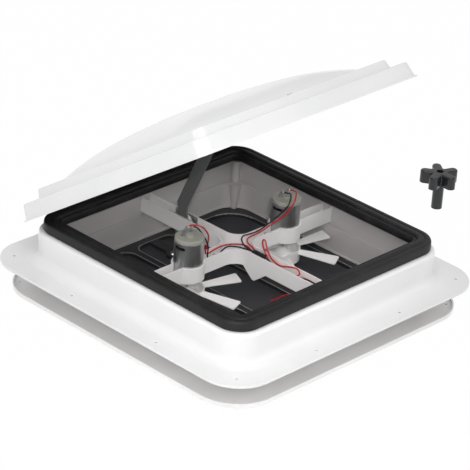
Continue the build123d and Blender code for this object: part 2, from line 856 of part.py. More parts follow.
def lid_envelope():
    """Outer form of the shut lid, solid."""
    lip = rounded_plate(lid_half, lid_radius, lid_low_z, lid_low_z + lip_height, lid_offset)
    skirt = rounded_taper(skirt_foot, lid_radius - lip_out, skirt_top, lid_radius - lip_out,
                          lid_low_z, ledge_z, lid_offset)
    skirt = fillet(skirt.faces().sort_by(Axis.Z)[-1].edges(), skirt_round)
    riser = rounded_taper(riser_foot, lid_radius - lip_out, riser_top, lid_radius - 2 * lip_out,
                          ledge_z - lid_wall, deck_z, lid_offset)
    riser = fillet(riser.faces().sort_by(Axis.Z)[-1].edges(), riser_round)
    dome = loft(dome_sections(0))
    return lip.fuse(skirt, riser, dome).clean()


def lid_cavity():
    """Inner space of the shut lid."""
    low = lid_low_z - overrun
    slope = skirt_draft / skirt_height
    grow = slope * overrun
    drop = slope * (skirt_height - lid_wall)
    inner_radius = lid_radius - lip_out - lid_wall
    skirt = rounded_taper(
        skirt_foot - lid_wall + grow, inner_radius, skirt_foot - lid_wall - drop, inner_radius, low,
        ledge_z - lid_wall, lid_offset)
    riser = rounded_taper(
        riser_foot - lid_wall, inner_radius, riser_top - lid_wall, inner_radius - lid_wall,
        ledge_z - 2 * lid_wall, deck_z - lid_wall, lid_offset)
    dome = loft(dome_sections(lid_wall))
    return skirt.fuse(riser, dome)


def lid_shell():
    """Thin moulded lid, with the holes of its rivets."""
    shell = lid_envelope() - lid_cavity()
    shell = shell.cut(*[brace_rivet(side, screw_gap) for side in (-1, 1)])
    return lid_pose * shell.cut(*[leaf_rivet(x, screw_gap) for x in leaf_rivet_places()])


def lid_seat_ring():
    """Flat ring under the lid's ledge that meets the seal."""
    low = crest_z + ring_gap
    high = ledge_z - lid_wall
    ring = rounded_plate(ring_outer, ring_radius, low, high, lid_offset)
    ring -= rounded_plate(ring_inner, ring_radius, low - overrun, high + overrun, lid_offset)
    return lid_pose * ring


def lid_brace():
    """Steel channel across the lid whose middle deepens into the slotted track."""
    high = deck_z - lid_wall
    low = high - brace_depth
    back = brace_end + lid_offset
    front = -brace_end + lid_offset
    body = block(-brace_half, brace_half, front, back, low, high)
    shut_y = roller_travel(0)
    open_y = roller_travel(open_angle + more_open)
    slot_half = roller_radius + track_slot_gap
    track_low = track_z - slot_half - track_edge
    body += block(-brace_half, brace_half, shut_y - track_margin, open_y + track_margin, track_low, low)
    inner = brace_half - brace_wall
    body -= block(-inner, inner, front - overrun, back + overrun, track_low - overrun, high - brace_wall)
    slot = SlotCenterToCenter(open_y - shut_y, 2 * slot_half)
    slot = extrude(Plane.YZ * Pos((shut_y + open_y) / 2, track_z) * slot, amount=brace_half + overrun, both=True)
    body -= slot
    body = body.cut(*[brace_rivet(side, screw_gap) for side in (-1, 1)])
    return lid_pose * body


def brace_rivet(side, gap=0.0):
    """Rivet through the deck into one end of the brace."""
    y = lid_offset + side * (brace_end + dome_foot) / 2
    return screw((0, y, deck_z), (0, 0, -1), lid_wall + brace_wall + gap, rivet_radius + gap,
                 rivet_head_radius, rivet_head_height)


def hinge_leaf(x):
    """Lid half of one hinge: barrel, strap and a foot shaped to the skirt."""
    strap_in = lid_half + lid_offset + pass_gap
    strap_out = strap_in + leaf_thick
    half = barrel_half - pass_gap
    body = block(-half, half, strap_in, strap_out, pin_z, leaf_high_z)
    body += block(-half, half, skirt_top - lid_wall, strap_out, leaf_foot_z, leaf_high_z)
    body += rod(barrel_radius, (-half, pin_y, pin_z), (1, 0, 0), 2 * half)
    body = Pos(x, 0, 0) * body
    body -= lid_envelope()
    body -= rod(pin_radius + run_gap, (x - plate_half, pin_y, pin_z), (1, 0, 0), 2 * plate_half)
    body = body.cut(*[leaf_rivet(place, screw_gap) for place in leaf_rivet_places()])
    return lid_pose * body.solids().sort_by(SortBy.VOLUME)[-1]


def leaf_rivet_places():
    """Two rivets in each hinge leaf."""
    return [side * hinge_reach + turn * barrel_half / 2 for side in (-1, 1) for turn in (-1, 1)]


def leaf_rivet(x, gap=0.0):
    """Rivet through a leaf and the lid's skirt."""
    start_y = lid_half + lid_offset + pass_gap + leaf_thick
    z = (leaf_foot_z + leaf_high_z) / 2
    length = start_y - skirt_top - lid_offset + lid_wall + gap
    return screw((x, start_y, z), (0, -1, 0), length, rivet_radius + gap, rivet_head_radius, rivet_head_height)


def lid_rivets():
    """All rivets of the lid."""
    rivets = [brace_rivet(side) for side in (-1, 1)] + [leaf_rivet(x) for x in leaf_rivet_places()]
    return group(lid_pose * rivet for rivet in rivets)


# Hinges on the curb

def hinge_plate(x):
    """Base half of one hinge: a plate on the curb with two ears."""
    high = land_z - curb_shoulder
    body = block(-plate_half, plate_half, curb_half, curb_half + plate_thick, plate_low_z, high)
    for side in (-1, 1):
        low_x = side * (barrel_half + ear_thick / 2) - ear_thick / 2
        ear = rod(ear_radius, (low_x, pin_y, pin_z), (1, 0, 0), ear_thick)
        ear += block(low_x, low_x + ear_thick, curb_half + plate_thick, pin_y, pin_z - ear_radius, pin_z + ear_radius)
        body += ear
    body -= rod(pin_radius, (-plate_half, pin_y, pin_z), (1, 0, 0), 2 * plate_half)
    body = Pos(x, 0, 0) * body
    return body.cut(*[hinge_screw(place, screw_gap) for place in hinge_screw_places()])


def hinge_screw_places():
    """Two screws in each hinge plate."""
    spread = (plate_half + barrel_half + ear_thick) / 2
    return [side * hinge_reach + turn * spread for side in (-1, 1) for turn in (-1, 1)]


def hinge_screw(x, gap=0.0):
    """Screw through a hinge plate and the curb's wall."""
    z = (plate_low_z + pin_z) / 2
    start = (x, curb_half + plate_thick, z)
    return screw(start, (0, -1, 0), plate_thick + 2 * curb_wall + gap, small_screw_radius + gap,
                 small_head_radius, small_head_height)


def hinge_screws():
    """The four screws of the two hinges."""
    return group(hinge_screw(x) for x in hinge_screw_places())


def hinge_pins():
    """Two headed pins."""
    length = 2 * (barrel_half + ear_thick)
    pins = []
    for side in (-1, 1):
        start = (side * hinge_reach - length / 2, pin_y, pin_z)
        pin = rod(pin_radius, start, (1, 0, 0), length)
        for end in (-1, 1):
            x = side * hinge_reach + end * (length / 2)
            pin += rod(pin_head_radius, (x, pin_y, pin_z), (end, 0, 0), pin_head)
        pins.append(pin)
    return group(pins)


# Operator

def operator_frame():
    """Pressed steel frame in the back arm that carries the arm shaft and the worm."""
    out = bar_half - bar_wall - slip_gap
    front = pivot_y - arm_hub_radius - frame_front
    back = spindle_y + frame_back
    base = block(-out, out, front, back, floor_z, floor_z + plate_gauge)
    body = base
    for side in (-1, 1):
        low_x = min(side * out, side * (out - plate_gauge))
        body += block(low_x, low_x + plate_gauge, front, back, floor_z, frame_side_z)
    tower_front = spindle_y - tower_reach
    tower_back = spindle_y + tower_reach
    body += block(out - plate_gauge, out, tower_front, tower_back, floor_z, frame_high_z + plate_gauge)
    shelf_x = wheel_x - journal_radius - tower_gap
    body += block(shelf_x, out, tower_front, tower_back, frame_high_z, frame_high_z + plate_gauge)
    body -= rod(arm_shaft_radius + run_gap, (-out - overrun, pivot_y, pivot_z), (1, 0, 0), 2 * (out + overrun))
    body -= rod(journal_radius + run_gap, (wheel_x, spindle_y, floor_z + overrun), (0, 0, 1), 4 * overrun)
    bush_hole = spindle_radius + run_gap + bush_wall
    body -= rod(bush_hole, (wheel_x, spindle_y, floor_z - overrun), (0, 0, 1), 2 * overrun)
    return body.cut(*[operator_screw(y, screw_gap) for y in operator_screw_places()])


def operator_screw_places():
    """One screw in front of the wheel and one behind the worm."""
    front = pivot_y - arm_hub_radius - frame_front + small_head_radius
    back = spindle_y + frame_back - small_head_radius
    return (front, back)


def operator_screw(y, gap=0.0):
    """Screw up through the arm's floor into the frame."""
    return screw((0, y, bar_low_z), (0, 0, 1), bar_floor + 3 * plate_gauge + gap, small_screw_radius + gap,
                 small_head_radius, small_head_height)


def operator_screws():
    """The two screws of the operator frame."""
    return group(operator_screw(y) for y in operator_screw_places())


def spindle_bush():
    """Flanged bush for the spindle in the arm's floor."""
    bore = spindle_radius + run_gap
    body = rod(bore + bush_wall, (wheel_x, spindle_y, bar_low_z), (0, 0, 1), bar_floor + plate_gauge)
    body += rod(bore + 2 * bush_wall, (wheel_x, spindle_y, bar_low_z - bush_flange), (0, 0, 1), bush_flange)
    return body - rod(bore, (wheel_x, spindle_y, bar_low_z - overrun), (0, 0, 1), 3 * overrun)


def strap(start, end, width):
    """Plan of a flat link with round ends between two points."""
    along = Vector(*end) - Vector(*start)
    middle = (Vector(*end) + Vector(*start)) / 2
    turn = Vector(1, 0, 0).get_signed_angle(along, Vector(0, 0, 1))
    return Pos(middle.X, middle.Y) * Rot(0, 0, turn) * SlotCenterToCenter(along.length, width)


def arm_points():
    """Pivot, knee and roller centre of the arm in the YZ plane."""
    rise = radians(arm_rest)
    along = (-cos(rise), sin(rise))
    out = (sin(rise), cos(rise))
    pivot = (pivot_y, pivot_z)
    knee = (pivot_y + knee_along * along[0] + knee_out * out[0],
            pivot_z + knee_along * along[1] + knee_out * out[1])
    tip = (pivot_y + arm_length * along[0], pivot_z + arm_length * along[1])
    return pivot, knee, tip


def in_arm_plane(plan, x, thick):
    """Raise a plan of (y, z) into a plate about one X value."""
    return Pos(x, 0, 0) * extrude(Plane.YZ * plan, amount=thick / 2, both=True)


def lift_arm():
    """Cranked flat arm, wider above its knee, with holes for its shaft and roller pin."""
    pivot, knee, tip = arm_points()
    plan = strap(pivot, knee, arm_neck_width) + strap(knee, tip, arm_width)
    plan += Pos(*pivot) * Circle(arm_hub_radius)
    plan -= Pos(*pivot) * Circle(arm_shaft_radius)
    plan -= Pos(*tip) * Circle(roller_pin_radius)
    return in_arm_plane(plan, arm_x, arm_thick)


def tooth_plan():
    """Wheel outline with straight-sided teeth, a gap facing the worm."""
    root = wheel_radius - wheel_module * tooth_root_share
    tip = wheel_radius + wheel_module
    pitch_width = worm_pitch / 2 - tooth_play / 2
    plan = Circle(root)
    flare = wheel_module * tooth_flare_share
    tooth = make_face(Polyline(
        (root - wheel_module, pitch_width / 2 + flare), (tip, pitch_width / 2 - flare),
        (tip, -pitch_width / 2 + flare), (root - wheel_module, -pitch_width / 2 - flare), close=True))
    step = 360 / wheel_teeth
    teeth = [Rot(0, 0, step * (index + 0.5)) * tooth for index in range(wheel_teeth)]
    return plan + teeth


def worm_wheel():
    """Toothed wheel whose hub reaches across to the arm."""
    plan = Pos(pivot_y, pivot_z) * tooth_plan()
    body = in_arm_plane(plan, wheel_x, wheel_width)
    hub_low = arm_x + arm_thick / 2
    body += rod(wheel_hub_radius, (hub_low, pivot_y, pivot_z), (1, 0, 0), wheel_x - hub_low)
    return body - rod(arm_shaft_radius, (-bar_half, pivot_y, pivot_z), (1, 0, 0), 2 * bar_half)


def arm_shaft():
    """Shaft of the arm and wheel, between the frame's sides."""
    half = bar_half - bar_wall - slip_gap
    return rod(arm_shaft_radius, (-half, pivot_y, pivot_z), (1, 0, 0), 2 * half)


def roller_pin():
    """Headed cross pin at the arm's tip."""
    tip = arm_points()[2]
    half = brace_half + pass_gap * 2
    body = rod(roller_pin_radius, (-half, *tip), (1, 0, 0), 2 * half)
    for side in (-1, 1):
        body += rod(roller_head_radius, (side * half, *tip), (side, 0, 0), pin_head)
    return body


def arm_rollers():
    """Two rollers in the track's slots and the spacers that keep them there."""
    tip = arm_points()[2]
    middle = brace_half - brace_wall / 2
    roller_in = middle - roller_width / 2
    pieces = []
    for side in (-1, 1):
        start = side * roller_in
        wheel = rod(roller_radius, (start, *tip), (side, 0, 0), roller_width)
        arm_face = arm_x + side * arm_thick / 2
        wheel += rod(spacer_radius, (arm_face, *tip), (side, 0, 0), abs(start - arm_face))
        bore = rod(roller_pin_radius, (-brace_half - overrun, *tip), (1, 0, 0), 2 * (brace_half + overrun))
        pieces.append(wheel - bore)
    return group(pieces)


def worm():
    """Single-start worm with its journals, crest to the wheel at the wheel's height."""
    core = worm_radius - wheel_module * tooth_root_share
    tip = worm_radius + wheel_module
    half = worm_pitch * worm_turns / 2
    low_z = pivot_z - half
    pitch_width = worm_pitch / 2 - tooth_play / 2
    flare = wheel_module * tooth_flare_share
    path = Helix(worm_pitch, worm_pitch * worm_turns, worm_radius)
    profile = make_face(Polyline(
        (core - tooth_root_sink, -pitch_width / 2 - flare), (tip, -pitch_width / 2 + flare),
        (tip, pitch_width / 2 - flare), (core - tooth_root_sink, pitch_width / 2 + flare), close=True))
    thread = sweep(Plane.XZ * profile, path=path, is_frenet=True)
    thread = Pos(wheel_x, spindle_y, low_z) * Rot(0, 0, -90) * thread
    body = rod(core, (wheel_x, spindle_y, spindle_top_z), (0, 0, 1), frame_high_z - slip_gap - spindle_top_z)
    below = rod(tip + overrun, (wheel_x, spindle_y, spindle_top_z - 2 * overrun), (0, 0, 1), 2 * overrun)
    body = body.fuse(thread - below)
    journal_length = frame_high_z + plate_gauge - spindle_top_z + overrun
    return body.fuse(rod(journal_radius, (wheel_x, spindle_y, spindle_top_z - overrun), (0, 0, 1), journal_length))


def crank_spindle():
    """Round spindle from the worm down through the screen, with a stepped lower end."""
    body = rod(spindle_radius, (wheel_x, spindle_y, spindle_step_z), (0, 0, 1), spindle_top_z - spindle_step_z)
    body -= rod(journal_radius, (wheel_x, spindle_y, spindle_top_z - overrun), (0, 0, 1), 2 * overrun)
    end = rod(spindle_end_radius, (wheel_x, spindle_y, spindle_end_z), (0, 0, 1), spindle_step_z - spindle_end_z)
    return body + end


def spindle_collars():
    """Thrust collar above the frame's floor and a ring below the bush."""
    upper_z = floor_z + plate_gauge + clip_gap
    upper = rod(collar_radius, (wheel_x, spindle_y, upper_z), (0, 0, 1), collar_height)
    lower_z = bar_low_z - bush_flange - clip_gap - collar_height / 2
    lower = rod(collar_radius, (wheel_x, spindle_y, lower_z), (0, 0, 1), collar_height / 2)
    bore = rod(spindle_radius, (wheel_x, spindle_y, lower_z - overrun), (0, 0, 1), 4 * overrun)
    return group(ring - bore for ring in (upper, lower))


# Leads

def lead(name, points):
    """Insulated wire: straight runs joined by arcs, whose radii are printed."""
    spots = [Vector(*point) for point in points]
    radii = []
    for before, here, after in zip(spots, spots[1:], spots[2:]):
        run = min((here - before).length, (after - here).length)
        turn = radians((here - before).get_angle(after - here))
        radii.append(bend_share * run / tan(turn / 2))
    print(name, "arc radii", [round(radius, 1) for radius in radii])
    path = FilletPolyline(*spots, radius=radii)
    plane = Plane(origin=spots[0], z_dir=spots[1] - spots[0])
    tube = sweep(plane * Circle(lead_radius), path=path)
    print(name, "volume share", round(tube.volume / (pi * lead_radius ** 2 * path.length), 4))
    return tube


red_joint = (3.2, -66.0, 29.0)
black_joint = (-1.5, -32.0, 39.0)
red_sleeve = (3.0, 14.0)
black_sleeve = (3.6, 18.0)

lead_routes = {
    "lead_red_left": [
        (-84.3, 7, 86.8), (-78.5, 6.2, 87.3), (-70, -0.5, 85.4), (-63, 0.3, 79.8), (-56.5, 1, 73),
        (-51.5, 1.5, 65), (-51.5, 2, 54), (-55, 2.5, 45), (-53, 4, 38), (-45, 4.8, 37), (-36, 4.5, 39.5),
        (-23, 4.5, 40.3), (-8, 3.5, 38.2), (2.2, -3, 37.4), (5, -13, 38.4), (3.6, -22, 36.4), (2, -31, 30),
        (1.4, -44, 26.8), (2.1, -58, 28.3), (2.1, -66, 28.3)],
    "lead_black_left": [
        (-76.1, 7, 83.2), (-70.2, 6.8, 82), (-64.3, 4.2, 74.5), (-59.5, 2, 66.5), (-56.5, -1, 58),
        (-54.5, -2, 50), (-57, -3, 42), (-55.5, -3.5, 34), (-47, -3, 28.5), (-37, -2, 30),
        (-27, 1, 36), (-18, 1.2, 38.6), (-9, 0, 37), (0, -5, 34.6), (2.8, -14, 34.2), (0.6, -22.5, 37),
        (-0.2, -28, 37.8), (-0.2, -32, 37.8)],
    "lead_red_right": [
        (97.9, 4.4, 82.6), (97.6, -2, 83.4), (93.5, -10.5, 86.8), (87, -17, 86), (81, -20.8, 80.5),
        (76, -19, 71), (70.2, -14, 59.5), (65.5, -6.5, 51.5), (58, -1, 46), (48, 2, 39.8), (38, 4, 37),
        (28, 4, 37), (20, 1.5, 37.6), (14, -4, 37.4), (9.6, -12, 38.2), (6.2, -21, 39.4), (5.4, -29.5, 34),
        (5.4, -40, 28.6), (4.3, -54, 28.3), (4.3, -66, 28.3)],
    "lead_black_right": [
        (86.2, 4.4, 82.6), (86, -2, 83.6), (84, -9.5, 87), (80, -14.5, 85.5), (75, -17.5, 78.5),
        (70.8, -14.5, 69.5), (66.8, -8, 60), (62.5, -3.5, 54), (54, 0, 47.5), (44, 1.5, 43), (34, 3, 41.2),
        (24, 4, 41.5), (14.5, 4, 42.8), (8.2, 1, 41.4), (4.5, -4.5, 40.4), (-0.6, -13, 40.4), (-3, -21, 40.6),
        (-2.8, -27.5, 40.2), (-2.8, -32, 40.2)],
    "supply_red": [
        (3.2, -66, 30.3), (3.2, -60, 30.3), (3.4, -53.5, 34), (3.6, -48, 40.5), (3.2, -43, 48),
        (3, -40.5, 55.5), (3, -42.2, 60.2), (3, -46, 59.4), (3, -48.4, 52), (3, -53.5, 43), (3, -62, 36.8),
        (3, -74, 34.4), (3.2, -87, 39.3), (3, -98, 42.8), (3, -106, 42.4), (2.6, -108.6, 36.6),
        (2, -102, 32.6), (1.4, -92, 31.6), (2.4, -83.5, 28), (4.6, -86, 24.2), (4.9, -95, 25.4),
        (5, -104, 30.4), (5, -113, 33.6), (5, -126, 34), (4.6, -138, 33.2), (2.8, -147.5, 29.5),
        (2.2, -152.4, 21), (2.2, -152, 6), (3.6, -146, -3), (9, -133, -9.5), (18, -114.5, -12.3), (26, -94.5, -13.2),
        (30, -77.5, -14), (27.8, -66.8, -17), (20.5, -63.6, -19.8), (12.5, -63, -20.8), (4.5, -61.2, -20.8)],
    "supply_black": [
        (-1.5, -50, 39), (-1.5, -55, 39), (-2.6, -64, 36), (-3.4, -75, 30), (-2.6, -87, 25.6),
        (-0.8, -98, 27.2), (0.6, -109, 32.8), (1.8, -120, 36), (2, -132, 36), (0, -144, 35.4),
        (-2, -152.6, 31.4), (-2, -154.4, 22), (-2, -154, 8), (-4, -149, -4), (-9, -140, -13),
        (-17, -128, -19), (-25, -114, -22.6), (-29, -101, -22.8)],
}


def lead_joints():
    """Sleeves where the motor leads of each colour meet their supply lead."""
    pairs = ((red_joint, red_sleeve), (black_joint, black_sleeve))
    return group(rod(radius, joint, (0, -1, 0), length) for joint, (radius, length) in pairs)


SIDES = {"left": -1, "right": 1}


def knob_body():
    """Five-lobed knob on a hollow stem."""
    low = garnish_low_z
    head_z = low + knob_height - knob_head_height
    plan = Circle(knob_core_radius)
    lobe_length = knob_reach - knob_lobe_width / 2
    for index in range(knob_lobes):
        lobe = Pos(lobe_length / 2, 0) * SlotCenterToCenter(lobe_length, knob_lobe_width)
        plan += Rot(0, 0, knob_turn + 360 * index / knob_lobes) * lobe
    head = Pos(0, 0, head_z) * extrude(plan, amount=knob_head_height)
    head = fillet(head.faces().sort_by(Axis.Z)[-1].edges(), knob_round)
    stem = rod(knob_stem_radius, (0, 0, low), (0, 0, 1), head_z - low)
    body = head + stem
    recess_z = low + knob_height - knob_recess_depth
    body -= rod(knob_recess_radius, (0, 0, recess_z), (0, 0, 1), knob_recess_depth + overrun)
    body -= rod(insert_radius, (0, 0, low - overrun), (0, 0, 1), socket_depth + overrun)
    return (Pos(knob_x, knob_y, 0) * body) - knob_screw()


def knob_insert():
    """Brass sleeve in the stem that takes the spindle."""
    bore = spindle_end_radius + run_gap
    body = rod(insert_radius, (knob_x, knob_y, garnish_low_z), (0, 0, 1), socket_depth)
    body -= rod(bore, (knob_x, knob_y, garnish_low_z - overrun), (0, 0, 1), socket_depth + 2 * overrun)
    return body - knob_screw()


def knob_screw():
    """Grub screw across the stem, ending at the socket's wall."""
    start = (knob_x + spindle_end_radius + run_gap + slip_gap, knob_y, garnish_low_z + socket_depth / 2)
    return rod(small_screw_radius, start, (1, 0, 0), knob_stem_radius - spindle_end_radius - run_gap - 2 * slip_gap)


save("roof_base", roof_base())
save("rim_seal", rim_seal())
save("interior_garnish", garnish())
save("screen_frame", screen_frame())
save("insect_screen", insect_screen())
save("screen_clips", screen_clips())
save("cross_bracket", cross_bracket())
save("bracket_screws", bracket_screws())
for side_name, side in SIDES.items():
    save(f"motor_can_{side_name}", motor_can(side))
    save(f"motor_bell_{side_name}", motor_bell(side))
    save(f"motor_tabs_{side_name}", motor_tabs(side))
    save(f"motor_magnets_{side_name}", motor_magnets(side))
    save(f"motor_brushes_{side_name}", motor_brushes(side))
    save(f"motor_bushes_{side_name}", motor_bushes(side))
    save(f"motor_screws_{side_name}", motor_screws(side))
    save(f"rotor_{side_name}", rotor(side))
    save(f"commutator_{side_name}", commutator(side))
    save(f"fan_{side_name}", fan(side, blade_phases[side_name]))
    save(f"hinge_leaf_{side_name}", hinge_leaf(side * hinge_reach))
    save(f"hinge_plate_{side_name}", hinge_plate(side * hinge_reach))
save("hinge_screws", hinge_screws())
save("hinge_pins", hinge_pins())
save("lid_shell", lid_shell())
save("lid_seat_ring", lid_seat_ring())
save("lid_brace", lid_brace())
save("lid_rivets", lid_rivets())
save("operator_frame", operator_frame())
save("operator_screws", operator_screws())
save("spindle_bush", spindle_bush())
save("lift_arm", lift_arm())
save("worm_wheel", worm_wheel())
save("arm_shaft", arm_shaft())
save("roller_pin", roller_pin())
save("arm_rollers", arm_rollers())
save("worm", worm())
save("crank_spindle", crank_spindle())
save("spindle_collars", spindle_collars())
for lead_name, route in lead_routes.items():
    save(lead_name, lead(lead_name, route))
save("lead_joints", lead_joints())
save("knob_body", knob_body())
save("knob_insert", knob_insert())
save("knob_screw", knob_screw())
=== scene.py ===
import json
from math import atan2, cos, pi, sin
import bmesh
import bpy
from mathutils import Matrix, Vector


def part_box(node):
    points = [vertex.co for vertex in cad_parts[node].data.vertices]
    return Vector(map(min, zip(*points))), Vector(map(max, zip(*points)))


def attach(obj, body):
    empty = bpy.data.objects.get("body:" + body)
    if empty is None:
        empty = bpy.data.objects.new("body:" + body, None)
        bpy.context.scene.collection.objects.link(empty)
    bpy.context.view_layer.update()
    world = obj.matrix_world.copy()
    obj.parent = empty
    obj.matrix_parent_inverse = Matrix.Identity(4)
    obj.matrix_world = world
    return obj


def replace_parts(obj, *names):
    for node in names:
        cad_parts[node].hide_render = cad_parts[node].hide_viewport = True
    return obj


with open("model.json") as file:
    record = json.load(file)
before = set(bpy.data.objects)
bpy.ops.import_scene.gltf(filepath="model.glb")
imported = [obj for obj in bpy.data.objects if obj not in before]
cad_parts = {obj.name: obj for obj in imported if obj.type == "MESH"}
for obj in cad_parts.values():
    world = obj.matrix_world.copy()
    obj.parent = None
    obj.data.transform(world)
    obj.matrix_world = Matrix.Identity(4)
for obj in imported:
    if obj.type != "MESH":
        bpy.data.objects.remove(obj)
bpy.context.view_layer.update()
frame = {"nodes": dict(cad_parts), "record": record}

# Object sizes are written in millimetres, as on a drawing, and scaled by this.
MM = 0.001

# Sockets of the colour Mix node
MIX_FACTOR = 0
MIX_FROM = 6
MIX_TO = 7
MIX_COLOUR_OUT = 2

# Patterns and gloss that the moulded plastics share
CLOUD_PITCH = 90
CLOUD_LEVEL = 0.4
CLOUD_GAIN = 2.2
HAZE_PITCH = 14
HAZE_SWING = 0.12
SKIN_PITCH = 1.1
SKIN_DEPTH = 0.05
GLOSS_ROUGHNESS = 0.2
GLOSS_COAT = 0.25

# How the well's walls differ from the gloss outside (duller, and darkened to a warm grey by painted shade),
# and how fast one gives way to the other
WELL_FADE_PER_MM = 0.5
WELL_ROUGHER = 0.2
WELL_PAINTED_SHADE = (0.50, 0.475, 0.468)
WELL_PAINTED_SHADE_SHARE = 0.9
WELL_CLOUD_GAIN = 0.3


# Shader maths

class Sock:
    """One output socket whose sums and products add Math nodes."""

    def __init__(self, sheet, out):
        self.sheet = sheet
        self.out = out

    def _math(self, operation, a, b=0.0):
        return self.sheet.node("ShaderNodeMath", {"operation": operation}, {0: a, 1: b})

    def __add__(self, other):
        return self._math("ADD", self, other)

    def __sub__(self, other):
        return self._math("SUBTRACT", self, other)

    def __mul__(self, other):
        return self._math("MULTIPLY", self, other)

    def __rsub__(self, other):
        return self._math("SUBTRACT", other, self)

    __radd__ = __add__

    def wave(self):
        return self._math("SINE", self)

    def size(self):
        return self._math("ABSOLUTE", self)

    def clamped(self):
        return self.sheet.node("ShaderNodeClamp", {}, {"Value": self}, "Result")


class Finish:
    """A material being written: its shader, its coordinates and its patterns."""

    def __init__(self, name, colour, roughness, metallic=0.0, **constants):
        self.material = bpy.data.materials.new(name)
        self.material.use_nodes = True
        self.tree = self.material.node_tree
        self.shader = self.tree.nodes["Principled BSDF"]
        self.colour = (*colour, 1.0)
        self.put("Base Color", self.colour)
        self.put("Roughness", roughness)
        self.put("Metallic", metallic)
        for socket, value in constants.items():
            self.put(socket.replace("_", " "), value)
        self.where = self.node("ShaderNodeTexCoord", {}, {}, "Object")

    def put(self, socket, value):
        target = self.shader.inputs[socket]
        if isinstance(value, Sock):
            self.tree.links.new(value.out, target)
        else:
            target.default_value = value

    def node(self, kind, settings, inputs, output=0):
        made = self.tree.nodes.new(kind)
        for key, value in settings.items():
            setattr(made, key, value)
        for key, value in inputs.items():
            if isinstance(value, Sock):
                self.tree.links.new(value.out, made.inputs[key])
            else:
                made.inputs[key].default_value = value
        return Sock(self, made.outputs[output])

    def noise(self, pitch, detail=2.0, stretch=(1, 1, 1)):
        """Noise whose cells are about this many millimetres across."""
        place = self.node("ShaderNodeMapping", {}, {"Vector": self.where, "Scale": stretch}, "Vector")
        return self.node(
            "ShaderNodeTexNoise", {}, {"Vector": place, "Scale": 1 / (pitch * MM), "Detail": detail})

    def cells(self, pitch):
        """Distance to the nearest cell centre."""
        return self.node(
            "ShaderNodeTexVoronoi", {}, {"Vector": self.where, "Scale": 1 / (pitch * MM)}, "Distance")

    def axis(self, name):
        """One coordinate in millimetres."""
        split = self.node("ShaderNodeSeparateXYZ", {}, {"Vector": self.where}, name)
        return split * (1 / MM)

    def tint(self, mask, colour):
        """Blend from the base colour to another by a mask."""
        ends = {MIX_FACTOR: mask.clamped(), MIX_FROM: self.colour, MIX_TO: (*colour, 1.0)}
        self.put("Base Color", self.node("ShaderNodeMix", {"data_type": "RGBA"}, ends, MIX_COLOUR_OUT))

    def bump(self, height, depth, strength=1.0):
        """Relief of a height pattern, this many millimetres deep."""
        relief = self.node(
            "ShaderNodeBump", {}, {"Height": height, "Distance": depth * MM, "Strength": strength}, "Normal")
        self.put("Normal", relief)


def mask(pattern, level, gain):
    """Pattern spread about a level."""
    return (pattern - level) * gain


def varied(middle, pattern, swing):
    """Value that swings about its middle with a pattern."""
    return middle + (pattern - 0.5) * swing


def moulded_plastic(name, colour, shade, roughness, peel=SKIN_DEPTH, **constants):
    """Injection-moulded plastic: faint cloudiness, a fine skin and a little handling haze."""
    finish = Finish(name, colour, roughness, **constants)
    cloud = finish.noise(CLOUD_PITCH, detail=3)
    finish.tint(mask(cloud, CLOUD_LEVEL, CLOUD_GAIN), shade)
    haze = finish.noise(HAZE_PITCH, detail=4)
    finish.put("Roughness", varied(roughness, haze, HAZE_SWING))
    finish.bump(finish.noise(SKIN_PITCH), peel)
    return finish.material


def well_plastic(name, colour, start):
    """Glossy white outside, and duller on the walls of the well with a warm grey painted shade, inside a
    reach in millimetres.
    """
    finish = Finish(name, colour, GLOSS_ROUGHNESS, Coat_Weight=GLOSS_COAT)
    across = finish.axis("X").size()
    along = finish.axis("Y").size()
    reach = finish.node("ShaderNodeMath", {"operation": "MAXIMUM"}, {0: across, 1: along})
    inside = ((start - reach) * WELL_FADE_PER_MM).clamped()
    cloud = finish.noise(CLOUD_PITCH, detail=3)
    # Painted shade: the walls inside the well are tinted a darker warm grey, standing in for the shade under
    # the lid
    finish.tint(mask(cloud, CLOUD_LEVEL, WELL_CLOUD_GAIN) + inside * WELL_PAINTED_SHADE_SHARE, WELL_PAINTED_SHADE)
    haze = finish.noise(HAZE_PITCH, detail=4)
    finish.put("Roughness", varied(GLOSS_ROUGHNESS + inside * WELL_ROUGHER, haze, HAZE_SWING))
    finish.bump(finish.noise(SKIN_PITCH), SKIN_DEPTH)
    return finish.material


def foam_rubber():
    """Closed-cell seal foam: pinholes, dusty patches and a soft sheen."""
    finish = Finish("seal foam", (0.0075, 0.0075, 0.008), roughness=0.62, Specular_IOR_Level=0.36)
    pores = finish.cells(pitch=1.4)
    dust = finish.noise(pitch=22, detail=5)
    pore_edge = 0.35
    pore_share = 0.5
    dusty = mask(dust, level=0.42, gain=2.4) + (pore_edge - pores) * pore_share
    finish.tint(dusty, (0.024, 0.024, 0.026))
    finish.put("Roughness", varied(0.56, dust, swing=0.35))
    pore_relief = 0.7
    grain_relief = 0.5
    finish.bump(pores * pore_relief + finish.noise(pitch=0.7, detail=3) * grain_relief, depth=0.22)
    return finish.material


def woven_mesh():
    """Fine insect mesh: crossing threads with a slightly uneven tension."""
    finish = Finish("insect mesh", (0.028, 0.0285, 0.033), roughness=0.55)
    pitch = 1.5
    warp = (finish.axis("X") * (2 * pi / pitch)).wave().size()
    weft = (finish.axis("Y") * (2 * pi / pitch)).wave().size()
    threads = warp * weft
    pull = finish.noise(pitch=40)
    thread_share = 0.9
    finish.tint(threads * thread_share + mask(pull, level=0.5, gain=0.5), (0.085, 0.087, 0.1))
    finish.bump(threads, depth=0.15)
    return finish.material


# How light the tarnish is beside the clean metal
TARNISHED_SHARE = 0.62


